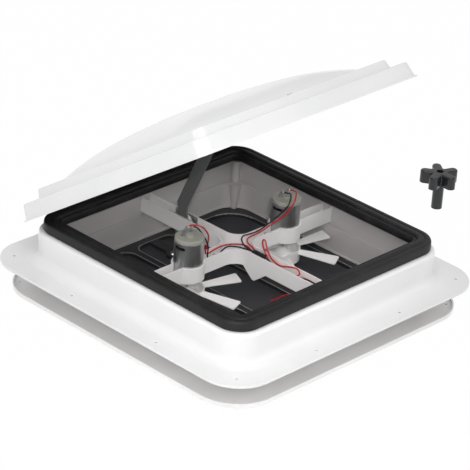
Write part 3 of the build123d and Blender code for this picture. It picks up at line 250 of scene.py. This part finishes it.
def rolled_steel(name, colour, roughness, grain, streak=(1, 1, 0.06)):
    """Plated sheet steel: drawn streaks, a little tarnish and soft scratches."""
    finish = Finish(name, colour, roughness, metallic=1.0)
    streaks = finish.noise(grain, detail=4, stretch=streak)
    tarnish = finish.noise(pitch=9, detail=3)
    darker = tuple(part * TARNISHED_SHARE for part in colour)
    finish.tint(mask(streaks, level=0.45, gain=1.5) + mask(tarnish, level=0.55, gain=1.2), darker)
    finish.put("Roughness", varied(roughness, streaks, swing=0.3))
    finish.bump(streaks, depth=0.04)
    return finish.material


def painted_steel():
    """Arm paint: dark grey with a fine texture and rubbed patches."""
    finish = Finish("arm paint", (0.16, 0.165, 0.165), roughness=0.42, metallic=0.3)
    rub = finish.noise(pitch=12, detail=5)
    finish.tint(mask(rub, level=0.52, gain=2.5), (0.19, 0.195, 0.195))
    finish.put("Roughness", varied(0.38, rub, swing=0.35))
    finish.bump(finish.noise(pitch=0.8, detail=3), depth=0.06)
    return finish.material


def insulation(name, colour, shade):
    """Smooth wire cover with faint length marks."""
    finish = Finish(name, colour, roughness=0.34, Specular_IOR_Level=0.45)
    mark = finish.noise(pitch=5, detail=3)
    finish.tint(mask(mark, level=0.4, gain=1.6), shade)
    finish.put("Roughness", varied(0.3, mark, swing=0.2))
    finish.bump(finish.noise(pitch=1.6), depth=0.05)
    return finish.material


# Reaches in millimetres inside which the well's walls turn duller and take the painted shade
BASE_GLOSS_START = 171.5
GARNISH_GLOSS_START = 170.0
FINISHES = {
    "base_white": well_plastic("base white", (0.80, 0.80, 0.80), BASE_GLOSS_START),
    "garnish_white": well_plastic("garnish white", (0.90, 0.888, 0.885), GARNISH_GLOSS_START),
    "white_gloss": moulded_plastic(
        "gloss white", (0.80, 0.80, 0.80), (0.755, 0.757, 0.765), GLOSS_ROUGHNESS, Coat_Weight=GLOSS_COAT),
    "white_satin": moulded_plastic(
        "satin white", (0.83, 0.808, 0.805), (0.77, 0.748, 0.745), roughness=0.34),
    "seal_foam": foam_rubber(),
    "black_frame": moulded_plastic(
        "frame black", (0.018, 0.018, 0.02), (0.034, 0.034, 0.037), roughness=0.42, peel=0.1),
    "mesh": woven_mesh(),
    "can_steel": rolled_steel("can steel", (0.56, 0.57, 0.575), roughness=0.34, grain=3.0),
    "end_bell": moulded_plastic(
        "bell plastic", (0.36, 0.36, 0.315), (0.26, 0.27, 0.235), roughness=0.45, peel=0.1),
    "arm_steel": painted_steel(),
    "steel": rolled_steel("plated steel", (0.6, 0.6, 0.6), roughness=0.32, grain=2.0, streak=(1, 1, 1)),
    "brass": rolled_steel("brass", (0.62, 0.47, 0.2), roughness=0.3, grain=2.0),
    "magnet": moulded_plastic(
        "ferrite", (0.03, 0.028, 0.028), (0.05, 0.048, 0.046), roughness=0.6, peel=0.12),
    "copper": rolled_steel("copper", (0.72, 0.34, 0.18), roughness=0.3, grain=1.5),
    "acetal": moulded_plastic("acetal", (0.70, 0.69, 0.65), (0.62, 0.61, 0.58), roughness=0.38),
    "red_wire": insulation("red insulation", (0.55, 0.018, 0.02), (0.38, 0.012, 0.014)),
    "black_wire": insulation("black insulation", (0.012, 0.012, 0.013), (0.028, 0.028, 0.03)),
    "knob_black": moulded_plastic(
        "knob black", (0.016, 0.017, 0.019), (0.030, 0.032, 0.036), roughness=0.24, peel=0.1),
    # Painted highlight: the beads' light grey stands in for light catching the black frame's rounded window
    # rims
    "bead_painted_highlight": moulded_plastic("bead painted highlight", (0.42, 0.42, 0.43), (0.34, 0.34, 0.35), roughness=0.32),
    "solder": rolled_steel("solder", (0.62, 0.62, 0.6), roughness=0.3, grain=0.9, streak=(1, 1, 1)),
}


# Camera: its place is in object millimetres, and its three axes have length one

CAMERA_LENS = 209.26
CAMERA_SENSOR = 36.0
CAMERA_FAR = 20.0
CAMERA_PLACE = (-2266.52, -2104.90, 1636.75)
CAMERA_RIGHT = (0.70285619, -0.70864534, 0.06176532)
CAMERA_UP = (0.2860611, 0.36108483, 0.88757354)
CAMERA_BACK = (-0.65127738, -0.60616791, 0.45650657)


def photo_camera():
    """Camera at the photograph's place and angle."""
    data = bpy.data.cameras.new("photo camera")
    data.lens = CAMERA_LENS
    data.sensor_width = CAMERA_SENSOR
    data.clip_end = CAMERA_FAR
    camera = bpy.data.objects.new("photo camera", data)
    bpy.context.scene.collection.objects.link(camera)
    turn = Matrix((CAMERA_RIGHT, CAMERA_UP, CAMERA_BACK)).transposed().to_4x4()
    camera.matrix_world = Matrix.Translation(Vector(CAMERA_PLACE) * MM) @ turn
    bpy.context.scene.camera = camera


photo_camera()


# Making pieces

def mesh_piece(name, bm, finish, body):
    """Turn a bmesh into a finished, smooth-shaded piece that rides on a body."""
    mesh = bpy.data.meshes.new(name)
    bm.to_mesh(mesh)
    bm.free()
    mesh.materials.append(FINISHES[finish])
    for face in mesh.polygons:
        face.use_smooth = True
    piece = bpy.data.objects.new(name, mesh)
    bpy.context.scene.collection.objects.link(piece)
    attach(piece, body)
    return piece


def rounded_square(half, radius, steps):
    """Plan points round a square with round corners, anticlockwise."""
    points = []
    centre = half - radius
    for corner, (sx, sy) in enumerate(((1, 1), (-1, 1), (-1, -1), (1, -1))):
        for step in range(steps + 1):
            turn = pi / 2 * (corner + step / steps)
            points.append((centre * sx + radius * cos(turn), centre * sy + radius * sin(turn)))
    return points


def swept_ring(name, profile, centre, finish, body, steps):
    """Carry a closed (reach, height) profile round a square with round corners."""
    bm = bmesh.new()
    rings = []
    for reach, height in profile:
        rings.append([
            bm.verts.new((x * MM, y * MM, height * MM))
            for x, y in rounded_square(reach, reach - centre, steps)])
    for ring, following in zip(rings, rings[1:] + rings[:1]):
        count = len(ring)
        for i in range(count):
            j = (i + 1) % count
            bm.faces.new((ring[i], ring[j], following[j], following[i]))
    bmesh.ops.recalc_face_normals(bm, faces=bm.faces)
    return mesh_piece(name, bm, finish, body)


CORNER_NEAR = 0.75
CORNER_FAR = 1 - CORNER_NEAR


def round_profile(points, cuts):
    """Soften a closed profile by cutting its corners again and again."""
    for _ in range(cuts):
        softer = []
        for (x0, y0), (x1, y1) in zip(points, points[1:] + points[:1]):
            softer.append((x0 * CORNER_NEAR + x1 * CORNER_FAR, y0 * CORNER_NEAR + y1 * CORNER_FAR))
            softer.append((x0 * CORNER_FAR + x1 * CORNER_NEAR, y0 * CORNER_FAR + y1 * CORNER_NEAR))
        points = softer
    return points


OWN_FINISHES = {"roof_base": "base_white", "interior_garnish": "garnish_white"}


def dress_nodes():
    """Give every carried-over solid its own finish, or else that of its slot."""
    slots = {part["node"]: part["material_slot"] for part in frame["record"]["subparts"]}
    for name, node in frame["nodes"].items():
        material = FINISHES[OWN_FINISHES.get(name, slots[name])]
        if not node.material_slots:
            node.data.materials.append(material)
        for place in node.material_slots:
            place.material = material


dress_nodes()


# Leads

def lead_piece(name, points, radius, finish):
    """A held lead along its own smooth spline."""
    data = bpy.data.curves.new(name, "CURVE")
    data.dimensions = "3D"
    data.bevel_depth = radius * MM
    data.bevel_resolution = 4
    data.resolution_u = 8
    data.use_fill_caps = True
    spline = data.splines.new("NURBS")
    spline.points.add(len(points) - 1)
    for place, (x, y, z) in zip(spline.points, points):
        place.co = (x * MM, y * MM, z * MM, 1.0)
    spline.order_u = 3
    spline.use_endpoint_u = True
    data.materials.append(FINISHES[finish])
    piece = bpy.data.objects.new(name, data)
    bpy.context.scene.collection.objects.link(piece)
    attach(piece, "base")
    return piece


LEAD_RADIUS = 1.0
LEADS = {
    "lead_red_left": ("red_wire", [
        (-84.3, 7, 86.8), (-78.5, 6.2, 87.3), (-70, -0.5, 85.4), (-63, 0.3, 79.8), (-56.5, 1, 73),
        (-51.5, 1.5, 65), (-51.5, 2, 54), (-55, 2.5, 45), (-53, 4, 38), (-45, 4.8, 37), (-36, 4.5, 39.5),
        (-23, 4.5, 40.3), (-8, 3.5, 38.2), (2.2, -3, 37.4), (5, -13, 38.4), (3.6, -22, 36.4), (2, -31, 30),
        (1.4, -44, 26.8), (2.1, -58, 28.3), (2.1, -66, 28.3)]),
    "lead_black_left": ("black_wire", [
        (-76.1, 7, 83.2), (-70.2, 6.8, 82), (-64.3, 4.2, 74.5), (-59.5, 2, 66.5), (-56.5, -1, 58),
        (-54.5, -2, 50), (-57, -3, 42), (-55.5, -3.5, 34), (-47, -3, 28.5), (-37, -2, 30),
        (-27, 1, 36), (-18, 1.2, 38.6), (-9, 0, 37), (0, -5, 34.6), (2.8, -14, 34.2), (0.6, -22.5, 37),
        (-0.2, -28, 37.8), (-0.2, -32, 37.8)]),
    "lead_red_right": ("red_wire", [
        (97.9, 4.4, 82.6), (97.6, -2, 83.4), (93.5, -10.5, 86.8), (87, -17, 86), (81, -20.8, 80.5),
        (76, -19, 71), (70.2, -14, 59.5), (65.5, -6.5, 51.5), (58, -1, 46), (48, 2, 39.8), (38, 4, 37),
        (28, 4, 37), (20, 1.5, 37.6), (14, -4, 37.4), (9.6, -12, 38.2), (6.2, -21, 39.4), (5.4, -29.5, 34),
        (5.4, -40, 28.6), (4.3, -54, 28.3), (4.3, -66, 28.3)]),
    "lead_black_right": ("black_wire", [
        (86.2, 4.4, 82.6), (86, -2, 83.6), (84, -9.5, 87), (80, -14.5, 85.5), (75, -17.5, 78.5),
        (70.8, -14.5, 69.5), (66.8, -8, 60), (62.5, -3.5, 54), (54, 0, 47.5), (44, 1.5, 43), (34, 3, 41.2),
        (24, 4, 41.5), (14.5, 4, 42.8), (8.2, 1, 41.4), (4.5, -4.5, 40.4), (-0.6, -13, 40.4), (-3, -21, 40.6),
        (-2.8, -27.5, 40.2), (-2.8, -32, 40.2)]),
    "supply_red": ("red_wire", [
        (3.2, -66, 30.3), (3.2, -60, 30.3), (3.4, -53.5, 34), (3.6, -48, 40.5), (3.2, -43, 48),
        (3, -40.5, 55.5), (3, -42.2, 60.2), (3, -46, 59.4), (3, -48.4, 52), (3, -53.5, 43), (3, -62, 36.8),
        (3, -74, 34.4), (3.2, -87, 39.3), (3, -98, 42.8), (3, -106, 42.4), (2.6, -108.6, 36.6),
        (2, -102, 32.6), (1.4, -92, 31.6), (2.4, -83.5, 28), (4.6, -86, 24.2), (4.9, -95, 25.4),
        (5, -104, 30.4), (5, -113, 33.6), (5, -126, 34), (4.6, -138, 33.2), (2.8, -147.5, 29.5),
        (2.2, -152.4, 21), (2.2, -152, 6), (3.6, -146, -3), (9, -133, -9.5), (18, -114.5, -12.3),
        (26, -94.5, -13.2), (30, -77.5, -14), (27.8, -66.8, -17), (20.5, -63.6, -19.8),
        (12.5, -63, -20.8), (4.5, -61.2, -20.8)]),
    "supply_black": ("black_wire", [
        (-1.5, -50, 39), (-1.5, -55, 39), (-2.6, -64, 36), (-3.4, -75, 30), (-2.6, -87, 25.6),
        (-0.8, -98, 27.2), (0.6, -109, 32.8), (1.8, -120, 36), (2, -132, 36), (0, -144, 35.4),
        (-2, -152.6, 31.4), (-2, -154.4, 22), (-2, -154, 8), (-4, -149, -4), (-9, -140, -13),
        (-17, -128, -19), (-25, -114, -22.6), (-29, -101, -22.8)]),
}
for lead_name, (lead_finish, lead_points) in LEADS.items():
    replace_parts(lead_piece(lead_name + "_wire", lead_points, LEAD_RADIUS, lead_finish), lead_name)


# Geometry-node trees

class Tree:
    """A geometry-node tree being written, with named inputs for its sizes."""

    def __init__(self, name, sizes):
        self.group = bpy.data.node_groups.new(name, "GeometryNodeTree")
        face = self.group.interface
        face.new_socket("Geometry", in_out="INPUT", socket_type="NodeSocketGeometry")
        face.new_socket("Geometry", in_out="OUTPUT", socket_type="NodeSocketGeometry")
        self.sockets = {}
        for size_name in sizes:
            made = face.new_socket(size_name, in_out="INPUT", socket_type="NodeSocketFloat")
            self.sockets[size_name] = made.identifier
        self.start = self.group.nodes.new("NodeGroupInput")

    def size(self, name):
        """Output of one named input."""
        return self.start.outputs[name]

    def node(self, kind, inputs=None, **settings):
        made = self.group.nodes.new(kind)
        for key, value in settings.items():
            setattr(made, key, value)
        for key, value in (inputs or {}).items():
            if isinstance(value, bpy.types.NodeSocket):
                self.group.links.new(value, made.inputs[key])
            else:
                made.inputs[key].default_value = value
        return made

    def times(self, a, b):
        return self.node("ShaderNodeMath", {0: a, 1: b}, operation="MULTIPLY").outputs[0]

    def place(self, shape, z, turn=0.0):
        """Shape moved up or down the Z axis, and turned about it."""
        offset = self.node("ShaderNodeCombineXYZ", {"Z": z}).outputs[0]
        return self.node("GeometryNodeTransform", {
            "Geometry": shape, "Translation": offset, "Rotation": (0, 0, turn)}).outputs[0]

    def joined(self, shapes):
        made = self.group.nodes.new("GeometryNodeJoinGeometry")
        for shape in shapes:
            self.group.links.new(shape, made.inputs[0])
        return made.outputs[0]

    def finish(self, shape, material):
        """End the tree in Realize Instances and Set Material."""
        real = self.node("GeometryNodeRealizeInstances", {"Geometry": shape}).outputs[0]
        dressed = self.node("GeometryNodeSetMaterial", {"Geometry": real, "Material": material}).outputs[0]
        end = self.group.nodes.new("NodeGroupOutput")
        self.group.links.new(dressed, end.inputs[0])


def baked(name, bm, tree, sizes, body):
    """Run a tree over a start mesh and keep the plain mesh that comes out."""
    mesh = bpy.data.meshes.new(name + " start")
    bm.to_mesh(mesh)
    bm.free()
    source = bpy.data.objects.new(name + " start", mesh)
    bpy.context.scene.collection.objects.link(source)
    modifier = source.modifiers.new("tree", "NODES")
    modifier.node_group = tree.group
    for size_name, value in sizes.items():
        modifier[tree.sockets[size_name]] = float(value)
    bpy.context.view_layer.update()
    evaluated = source.evaluated_get(bpy.context.evaluated_depsgraph_get())
    plain = bpy.data.meshes.new_from_object(evaluated)
    source.modifiers.remove(modifier)
    bpy.data.objects.remove(source)
    plain.name = name
    piece = bpy.data.objects.new(name, plain)
    bpy.context.scene.collection.objects.link(piece)
    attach(piece, body)
    return piece


# Screws, with the shares of a head's height and width that its parts take

FASTENER_SIZES = ("Head Radius", "Head Height", "Shank Radius", "Shank Length", "Recess")
LARGE_SCREW = {"Head Radius": 3.8, "Head Height": 2.2, "Shank Radius": 2.0}
SMALL_SCREW = {"Head Radius": 2.8, "Head Height": 1.8, "Shank Radius": 1.5}
HEAD_SIDES = 28
SHANK_SIDES = 20
RIM_SHARE = 0.55
CROWN_SHARE = 0.45
CROWN_TOP_SHARE = 0.62
RECESS_BAR_SHARE = 0.26
RECESS_SHARE = 1.25


def screw_head(tree):
    """Disc of a head, and the crown on it with a cross recess."""
    radius = tree.size("Head Radius")
    height = tree.size("Head Height")
    rim = tree.times(height, RIM_SHARE)
    crown = tree.times(height, CROWN_SHARE)
    disc = tree.node("GeometryNodeMeshCylinder", {"Vertices": HEAD_SIDES, "Radius": radius, "Depth": rim})
    disc = tree.place(disc.outputs[0], tree.times(rim, 0.5))
    top = tree.node("GeometryNodeMeshCone", {
        "Vertices": HEAD_SIDES, "Radius Bottom": radius, "Radius Top": tree.times(radius, CROWN_TOP_SHARE),
        "Depth": crown})
    top = tree.place(top.outputs[0], rim)
    across = tree.times(radius, tree.size("Recess"))
    bar_size = tree.node("ShaderNodeCombineXYZ", {
        "X": across, "Y": tree.times(across, RECESS_BAR_SHARE), "Z": height}).outputs[0]
    bar = tree.node("GeometryNodeMeshCube", {"Size": bar_size}).outputs[0]
    bars = [tree.place(bar, height, turn) for turn in (0.0, pi / 2)]
    cut = tree.node("GeometryNodeMeshBoolean", operation="DIFFERENCE")
    tree.group.links.new(top, cut.inputs["Mesh 1"])
    for piece in bars:
        tree.group.links.new(piece, cut.inputs["Mesh 2"])
    return [disc, cut.outputs[0]]


def screw_shank(tree):
    """Plain shank under the head."""
    shank = tree.node("GeometryNodeMeshCylinder", {
        "Vertices": SHANK_SIDES, "Radius": tree.size("Shank Radius"), "Depth": tree.size("Shank Length")})
    return tree.place(shank.outputs[0], tree.times(tree.size("Shank Length"), -0.5))


def fastener_tree(name, material):
    """Screw with a crowned head, put at every point along its aim."""
    tree = Tree(name, FASTENER_SIZES)
    whole = tree.joined([*screw_head(tree), screw_shank(tree)])
    aim = tree.node("GeometryNodeInputNamedAttribute", {"Name": "aim"}, data_type="FLOAT_VECTOR").outputs[0]
    turn = tree.node("FunctionNodeAlignRotationToVector", {"Vector": aim}, axis="Z").outputs[0]
    placed = tree.node("GeometryNodeInstanceOnPoints", {
        "Points": tree.start.outputs["Geometry"], "Instance": whole, "Rotation": turn}).outputs[0]
    tree.finish(placed, material)
    return tree


def fasteners(name, places, tree, screw, length, body, replaced):
    """Bake the fasteners at (point, outward aim) places and replace their solids."""
    bm = bmesh.new()
    aims = bm.verts.layers.float_vector.new("aim")
    for point, aim in places:
        bm.verts.new(Vector(point) * MM)[aims] = Vector(aim)
    in_metres = {key: value * MM for key, value in screw.items()}
    in_metres["Shank Length"] = length * MM
    in_metres["Recess"] = RECESS_SHARE
    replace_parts(baked(name, bm, tree, in_metres, body), replaced)


BAR_LOW = 19.5
MOTOR_REACH = 87.5
MOTOR_SCREW_SPREAD = 12.8
MOTOR_SHANK = 3.2
BRACKET_END = 165.5
BRACKET_SCREW_RISE = 6.5
BRACKET_SHANK = 21.0
HINGE_REACH = 115
HINGE_SCREW_SPREAD = 13.65
HINGE_FACE = 192.0
HINGE_SCREW_Z = 28.0
HINGE_SHANK = 8.0
OPERATOR_SCREW_PLACES = (81.3, 116.1)
OPERATOR_SHANK = 4.7


def screw_sets():
    """Screws of the cross, hinges, motors and operator, at their solids' places."""
    screw_tree = fastener_tree("screw", FINISHES["steel"])
    ends = [
        ((BRACKET_END * x, BRACKET_END * y, BAR_LOW + BRACKET_SCREW_RISE), (-x, -y, 0))
        for x, y in ((1, 0), (0, 1), (-1, 0), (0, -1))]
    fasteners(
        "bracket_screw_heads", ends, screw_tree, LARGE_SCREW, BRACKET_SHANK, "base",
        "bracket_screws")
    hinges = [
        ((hinge + shift, HINGE_FACE, HINGE_SCREW_Z), (0, 1, 0))
        for hinge in (-HINGE_REACH, HINGE_REACH) for shift in (-HINGE_SCREW_SPREAD, HINGE_SCREW_SPREAD)]
    fasteners(
        "hinge_screw_heads", hinges, screw_tree, SMALL_SCREW, HINGE_SHANK, "base",
        "hinge_screws")
    for side, x in (("left", -MOTOR_REACH), ("right", MOTOR_REACH)):
        feet = [((x, y, BAR_LOW), (0, 0, -1)) for y in (-MOTOR_SCREW_SPREAD, MOTOR_SCREW_SPREAD)]
        fasteners(
            f"motor_screw_heads_{side}", feet, screw_tree, SMALL_SCREW, MOTOR_SHANK, "base",
            f"motor_screws_{side}")
    below = [((0, y, BAR_LOW), (0, 0, -1)) for y in OPERATOR_SCREW_PLACES]
    fasteners(
        "operator_screw_heads", below, screw_tree, SMALL_SCREW, OPERATOR_SHANK, "base",
        "operator_screws")


screw_sets()


# Beads round the screen's windows, light grey as a painted highlight

BEAD_RADIUS = 0.8
BEAD_SIDES = 12
BEAD_Z = -19.85
WINDOW_EDGE = 0.8
WINDOW_REACH = 150.2
WINDOW_OUTER_RADIUS = 37.0
WINDOW_INNER_RADIUS = 14.8
STRIP_INNER = 34.0
STRIP_OUTER = 46.0


def bead_tree(material):
    """Round bead carried along a closed outline."""
    tree = Tree("bead", ("Radius",))
    path = tree.node("GeometryNodeMeshToCurve", {"Mesh": tree.start.outputs["Geometry"]}).outputs[0]
    ring = tree.node(
        "GeometryNodeCurvePrimitiveCircle", {"Resolution": BEAD_SIDES, "Radius": tree.size("Radius")})
    tube = tree.node("GeometryNodeCurveToMesh", {"Curve": path, "Profile Curve": ring.outputs[0]}).outputs[0]
    smooth = tree.node("GeometryNodeSetShadeSmooth", {"Geometry": tube}).outputs[0]
    tree.finish(smooth, material)
    return tree


def window_outline(x0, x1, reach, radii, steps=8):
    """Outline of a screen window whose left and right corners differ."""
    points = []
    for corner, (x, y) in enumerate(((x1, reach), (x0, reach), (x0, -reach), (x1, -reach))):
        radius = radii[1] if x == x1 else radii[0]
        centre_x = x - radius if x == x1 else x + radius
        centre_y = y - radius if y > 0 else y + radius
        for step in range(steps + 1):
            turn = pi / 2 * (corner + step / steps)
            points.append((centre_x + radius * cos(turn), centre_y + radius * sin(turn)))
    return points


def window_beads():
    """Light grey bead round each of the three windows, a painted highlight on the black frame's rounded rims.
    """
    reach = WINDOW_REACH + WINDOW_EDGE
    strip_in = STRIP_INNER + WINDOW_EDGE
    strip_out = STRIP_OUTER - WINDOW_EDGE
    outer = WINDOW_OUTER_RADIUS
    inner = WINDOW_INNER_RADIUS
    bm = bmesh.new()
    for x0, x1, radii in (
            (-reach, -strip_out, (outer, inner)), (-strip_in, strip_in, (inner, inner)),
            (strip_out, reach, (inner, outer))):
        outline = window_outline(x0, x1, reach, radii)
        ring = [bm.verts.new((x * MM, y * MM, BEAD_Z * MM)) for x, y in outline]
        for here, after in zip(ring, ring[1:] + ring[:1]):
            bm.edges.new((here, after))
    tree = bead_tree(FINISHES["bead_painted_highlight"])
    baked("window_beads", bm, tree, {"Radius": BEAD_RADIUS * MM}, "base")


window_beads()


# Solder on the motors' tabs

SOLDER_PLACES = ((-84.9, 7, 86.6), (-76.8, 7, 83), (86, 5, 82.4), (97.7, 5, 82.4))
SOLDER_RADIUS = 1.7
SOLDER_LEAN = (1, 0.4, -0.6)
SOLDER_UNEVEN = 0.25
SOLDER_PITCHES = (2100, 1700, 1900)


def solder_blobs():
    """Uneven drop of solder where each motor lead meets its tab."""
    bm = bmesh.new()
    for point in SOLDER_PLACES:
        place = Matrix.Translation(Vector(point) * MM)
        bmesh.ops.create_icosphere(bm, subdivisions=3, radius=SOLDER_RADIUS * MM, matrix=place)
    pitch_x, pitch_y, pitch_z = SOLDER_PITCHES
    for vert in bm.verts:
        lean = sin(vert.co.x * pitch_x) * cos(vert.co.y * pitch_y) * sin(vert.co.z * pitch_z + 1)
        vert.co += Vector(SOLDER_LEAN) * lean * SOLDER_UNEVEN * MM
    mesh_piece("tab_solder", bm, "solder", "base")


solder_blobs()


# Rim seal

SEAL_CORNER_CENTRE = 152.0
SEAL_CORNER_STEPS = 16
# The closed outline of the seal's section, as (reach, height)
SEAL_PROFILE = [
    (184.1, 46.2), (184.1, 50.5), (184.0, 57.6), (181.8, 59.7), (177.2, 59.7), (175.6, 58.4), (174.5, 59.4),
    (172.5, 60.4), (168, 60.4), (165.8, 58.9), (164.9, 56.9), (163.2, 57.9), (160.4, 57.2), (159.2, 54.5),
    (159.1, 49.5), (161, 46.6), (170, 53.6), (178.2, 53.6), (178.2, 46.2)]


def rim_seal():
    """Foam seal with a tall crest, a valley and an outer shoulder nearly as high."""
    return swept_ring(
        "rim_seal_foam", round_profile(SEAL_PROFILE, cuts=2), SEAL_CORNER_CENTRE, "seal_foam", "base",
        SEAL_CORNER_STEPS)


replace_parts(rim_seal(), "rim_seal")


# Floor, backdrop and lamps, in metres

FLOOR_SIZE = 6.0
FLOOR_GREY = 0.9
FLOOR_GLOW_SHARE = 0.98
WORLD_LEVEL = 0.70
# Each lamp: name, place, aim, width and watts
LAMPS = (
    ("key", (-0.9, -0.9, 2.2), (0, 0, 0), 1.4, 17),
    ("right fill", (1.6, -1.8, 1.1), (0, 0, 0), 1.2, 4),
    ("left fill", (-1.9, 0.6, 0.9), (0, 0, 0.1), 1.0, 4))
WELL_SPOT_TOWARD = (-0.63, -0.60, 0.50)
WELL_SPOT_ACROSS = (0.70, -0.71, 0.0)
WELL_SPOT_AIM = (-0.01, -0.02, 0.0)
WELL_SPOT_REACH = 2.6
WELL_SPOT_STEP = 0.085
WELL_SPOT_RADIUS = 0.112
WELL_SPOT_POWER = 135.0
WELL_SPOT_SOFTNESS = 0.2
WELL_SPOT_BLEND = 0.5


def floor_finish():
    """Plain matt grey to the light, and nearly even white to the camera and in reflections."""
    material = bpy.data.materials.new("floor")
    material.use_nodes = True
    tree = material.node_tree
    tree.nodes.clear()
    out = tree.nodes.new("ShaderNodeOutputMaterial")
    plain = tree.nodes.new("ShaderNodeBsdfDiffuse")
    plain.inputs["Color"].default_value = (FLOOR_GREY, FLOOR_GREY, FLOOR_GREY, 1.0)
    glow = tree.nodes.new("ShaderNodeEmission")
    ray = tree.nodes.new("ShaderNodeLightPath")
    seen = tree.nodes.new("ShaderNodeMath")
    seen.operation = "MAXIMUM"
    tree.links.new(ray.outputs["Is Camera Ray"], seen.inputs[0])
    tree.links.new(ray.outputs["Is Glossy Ray"], seen.inputs[1])
    share = tree.nodes.new("ShaderNodeMath")
    share.operation = "MULTIPLY"
    share.inputs[1].default_value = FLOOR_GLOW_SHARE
    tree.links.new(seen.outputs[0], share.inputs[0])
    mix = tree.nodes.new("ShaderNodeMixShader")
    tree.links.new(share.outputs[0], mix.inputs[0])
    tree.links.new(plain.outputs[0], mix.inputs[1])
    tree.links.new(glow.outputs[0], mix.inputs[2])
    tree.links.new(mix.outputs[0], out.inputs[0])
    return material


def floor():
    """Pale floor under the interior trim ring, which also stands in for the backdrop."""
    bm = bmesh.new()
    bmesh.ops.create_grid(bm, x_segments=1, y_segments=1, size=FLOOR_SIZE)
    mesh = bpy.data.meshes.new("floor")
    bm.to_mesh(mesh)
    bm.free()
    piece = bpy.data.objects.new("floor", mesh)
    bpy.context.scene.collection.objects.link(piece)
    piece.location.z = frame_floor()
    mesh.materials.append(floor_finish())


def frame_floor():
    """Height of the surface that the trim ring stands on."""
    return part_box("interior_garnish")[0][2]


def world_light():
    """Even surround, white where the camera sees it."""
    world = bpy.data.worlds.new("studio")
    bpy.context.scene.world = world
    world.use_nodes = True
    tree = world.node_tree
    background = tree.nodes["Background"]
    ray = tree.nodes.new("ShaderNodeLightPath")
    level = tree.nodes.new("ShaderNodeMapRange")
    level.inputs["To Min"].default_value = WORLD_LEVEL
    level.inputs["To Max"].default_value = 1.0
    tree.links.new(ray.outputs["Is Camera Ray"], level.inputs["Value"])
    background.inputs["Color"].default_value = (1.0, 1.0, 1.0, 1.0)
    tree.links.new(level.outputs["Result"], background.inputs["Strength"])


def lamp(name, place, aim, size, power):
    """Square soft box aimed at a point."""
    data = bpy.data.lights.new(name, "AREA")
    data.shape = "SQUARE"
    data.size = size
    data.energy = power
    light = bpy.data.objects.new(name, data)
    bpy.context.scene.collection.objects.link(light)
    light.location = place
    light.rotation_euler = (Vector(aim) - Vector(place)).to_track_quat("-Z", "Y").to_euler()


def well_spots():
    """Soft narrow spots side by side that reach under the lid into the well."""
    toward = Vector(WELL_SPOT_TOWARD) * WELL_SPOT_REACH
    across = Vector(WELL_SPOT_ACROSS) * WELL_SPOT_STEP
    for side in (-1, 0, 1):
        aim = Vector(WELL_SPOT_AIM) + across * side
        data = bpy.data.lights.new("well spot", "SPOT")
        data.energy = WELL_SPOT_POWER
        data.shadow_soft_size = WELL_SPOT_SOFTNESS
        data.spot_size = 2 * atan2(WELL_SPOT_RADIUS, WELL_SPOT_REACH)
        data.spot_blend = WELL_SPOT_BLEND
        light = bpy.data.objects.new("well spot", data)
        bpy.context.scene.collection.objects.link(light)
        light.location = aim + toward
        light.rotation_euler = toward.to_track_quat("Z", "Y").to_euler()


floor()
world_light()
bpy.context.scene.view_settings.view_transform = "Standard"
for lamp_sizes in LAMPS:
    lamp(*lamp_sizes)
well_spots()
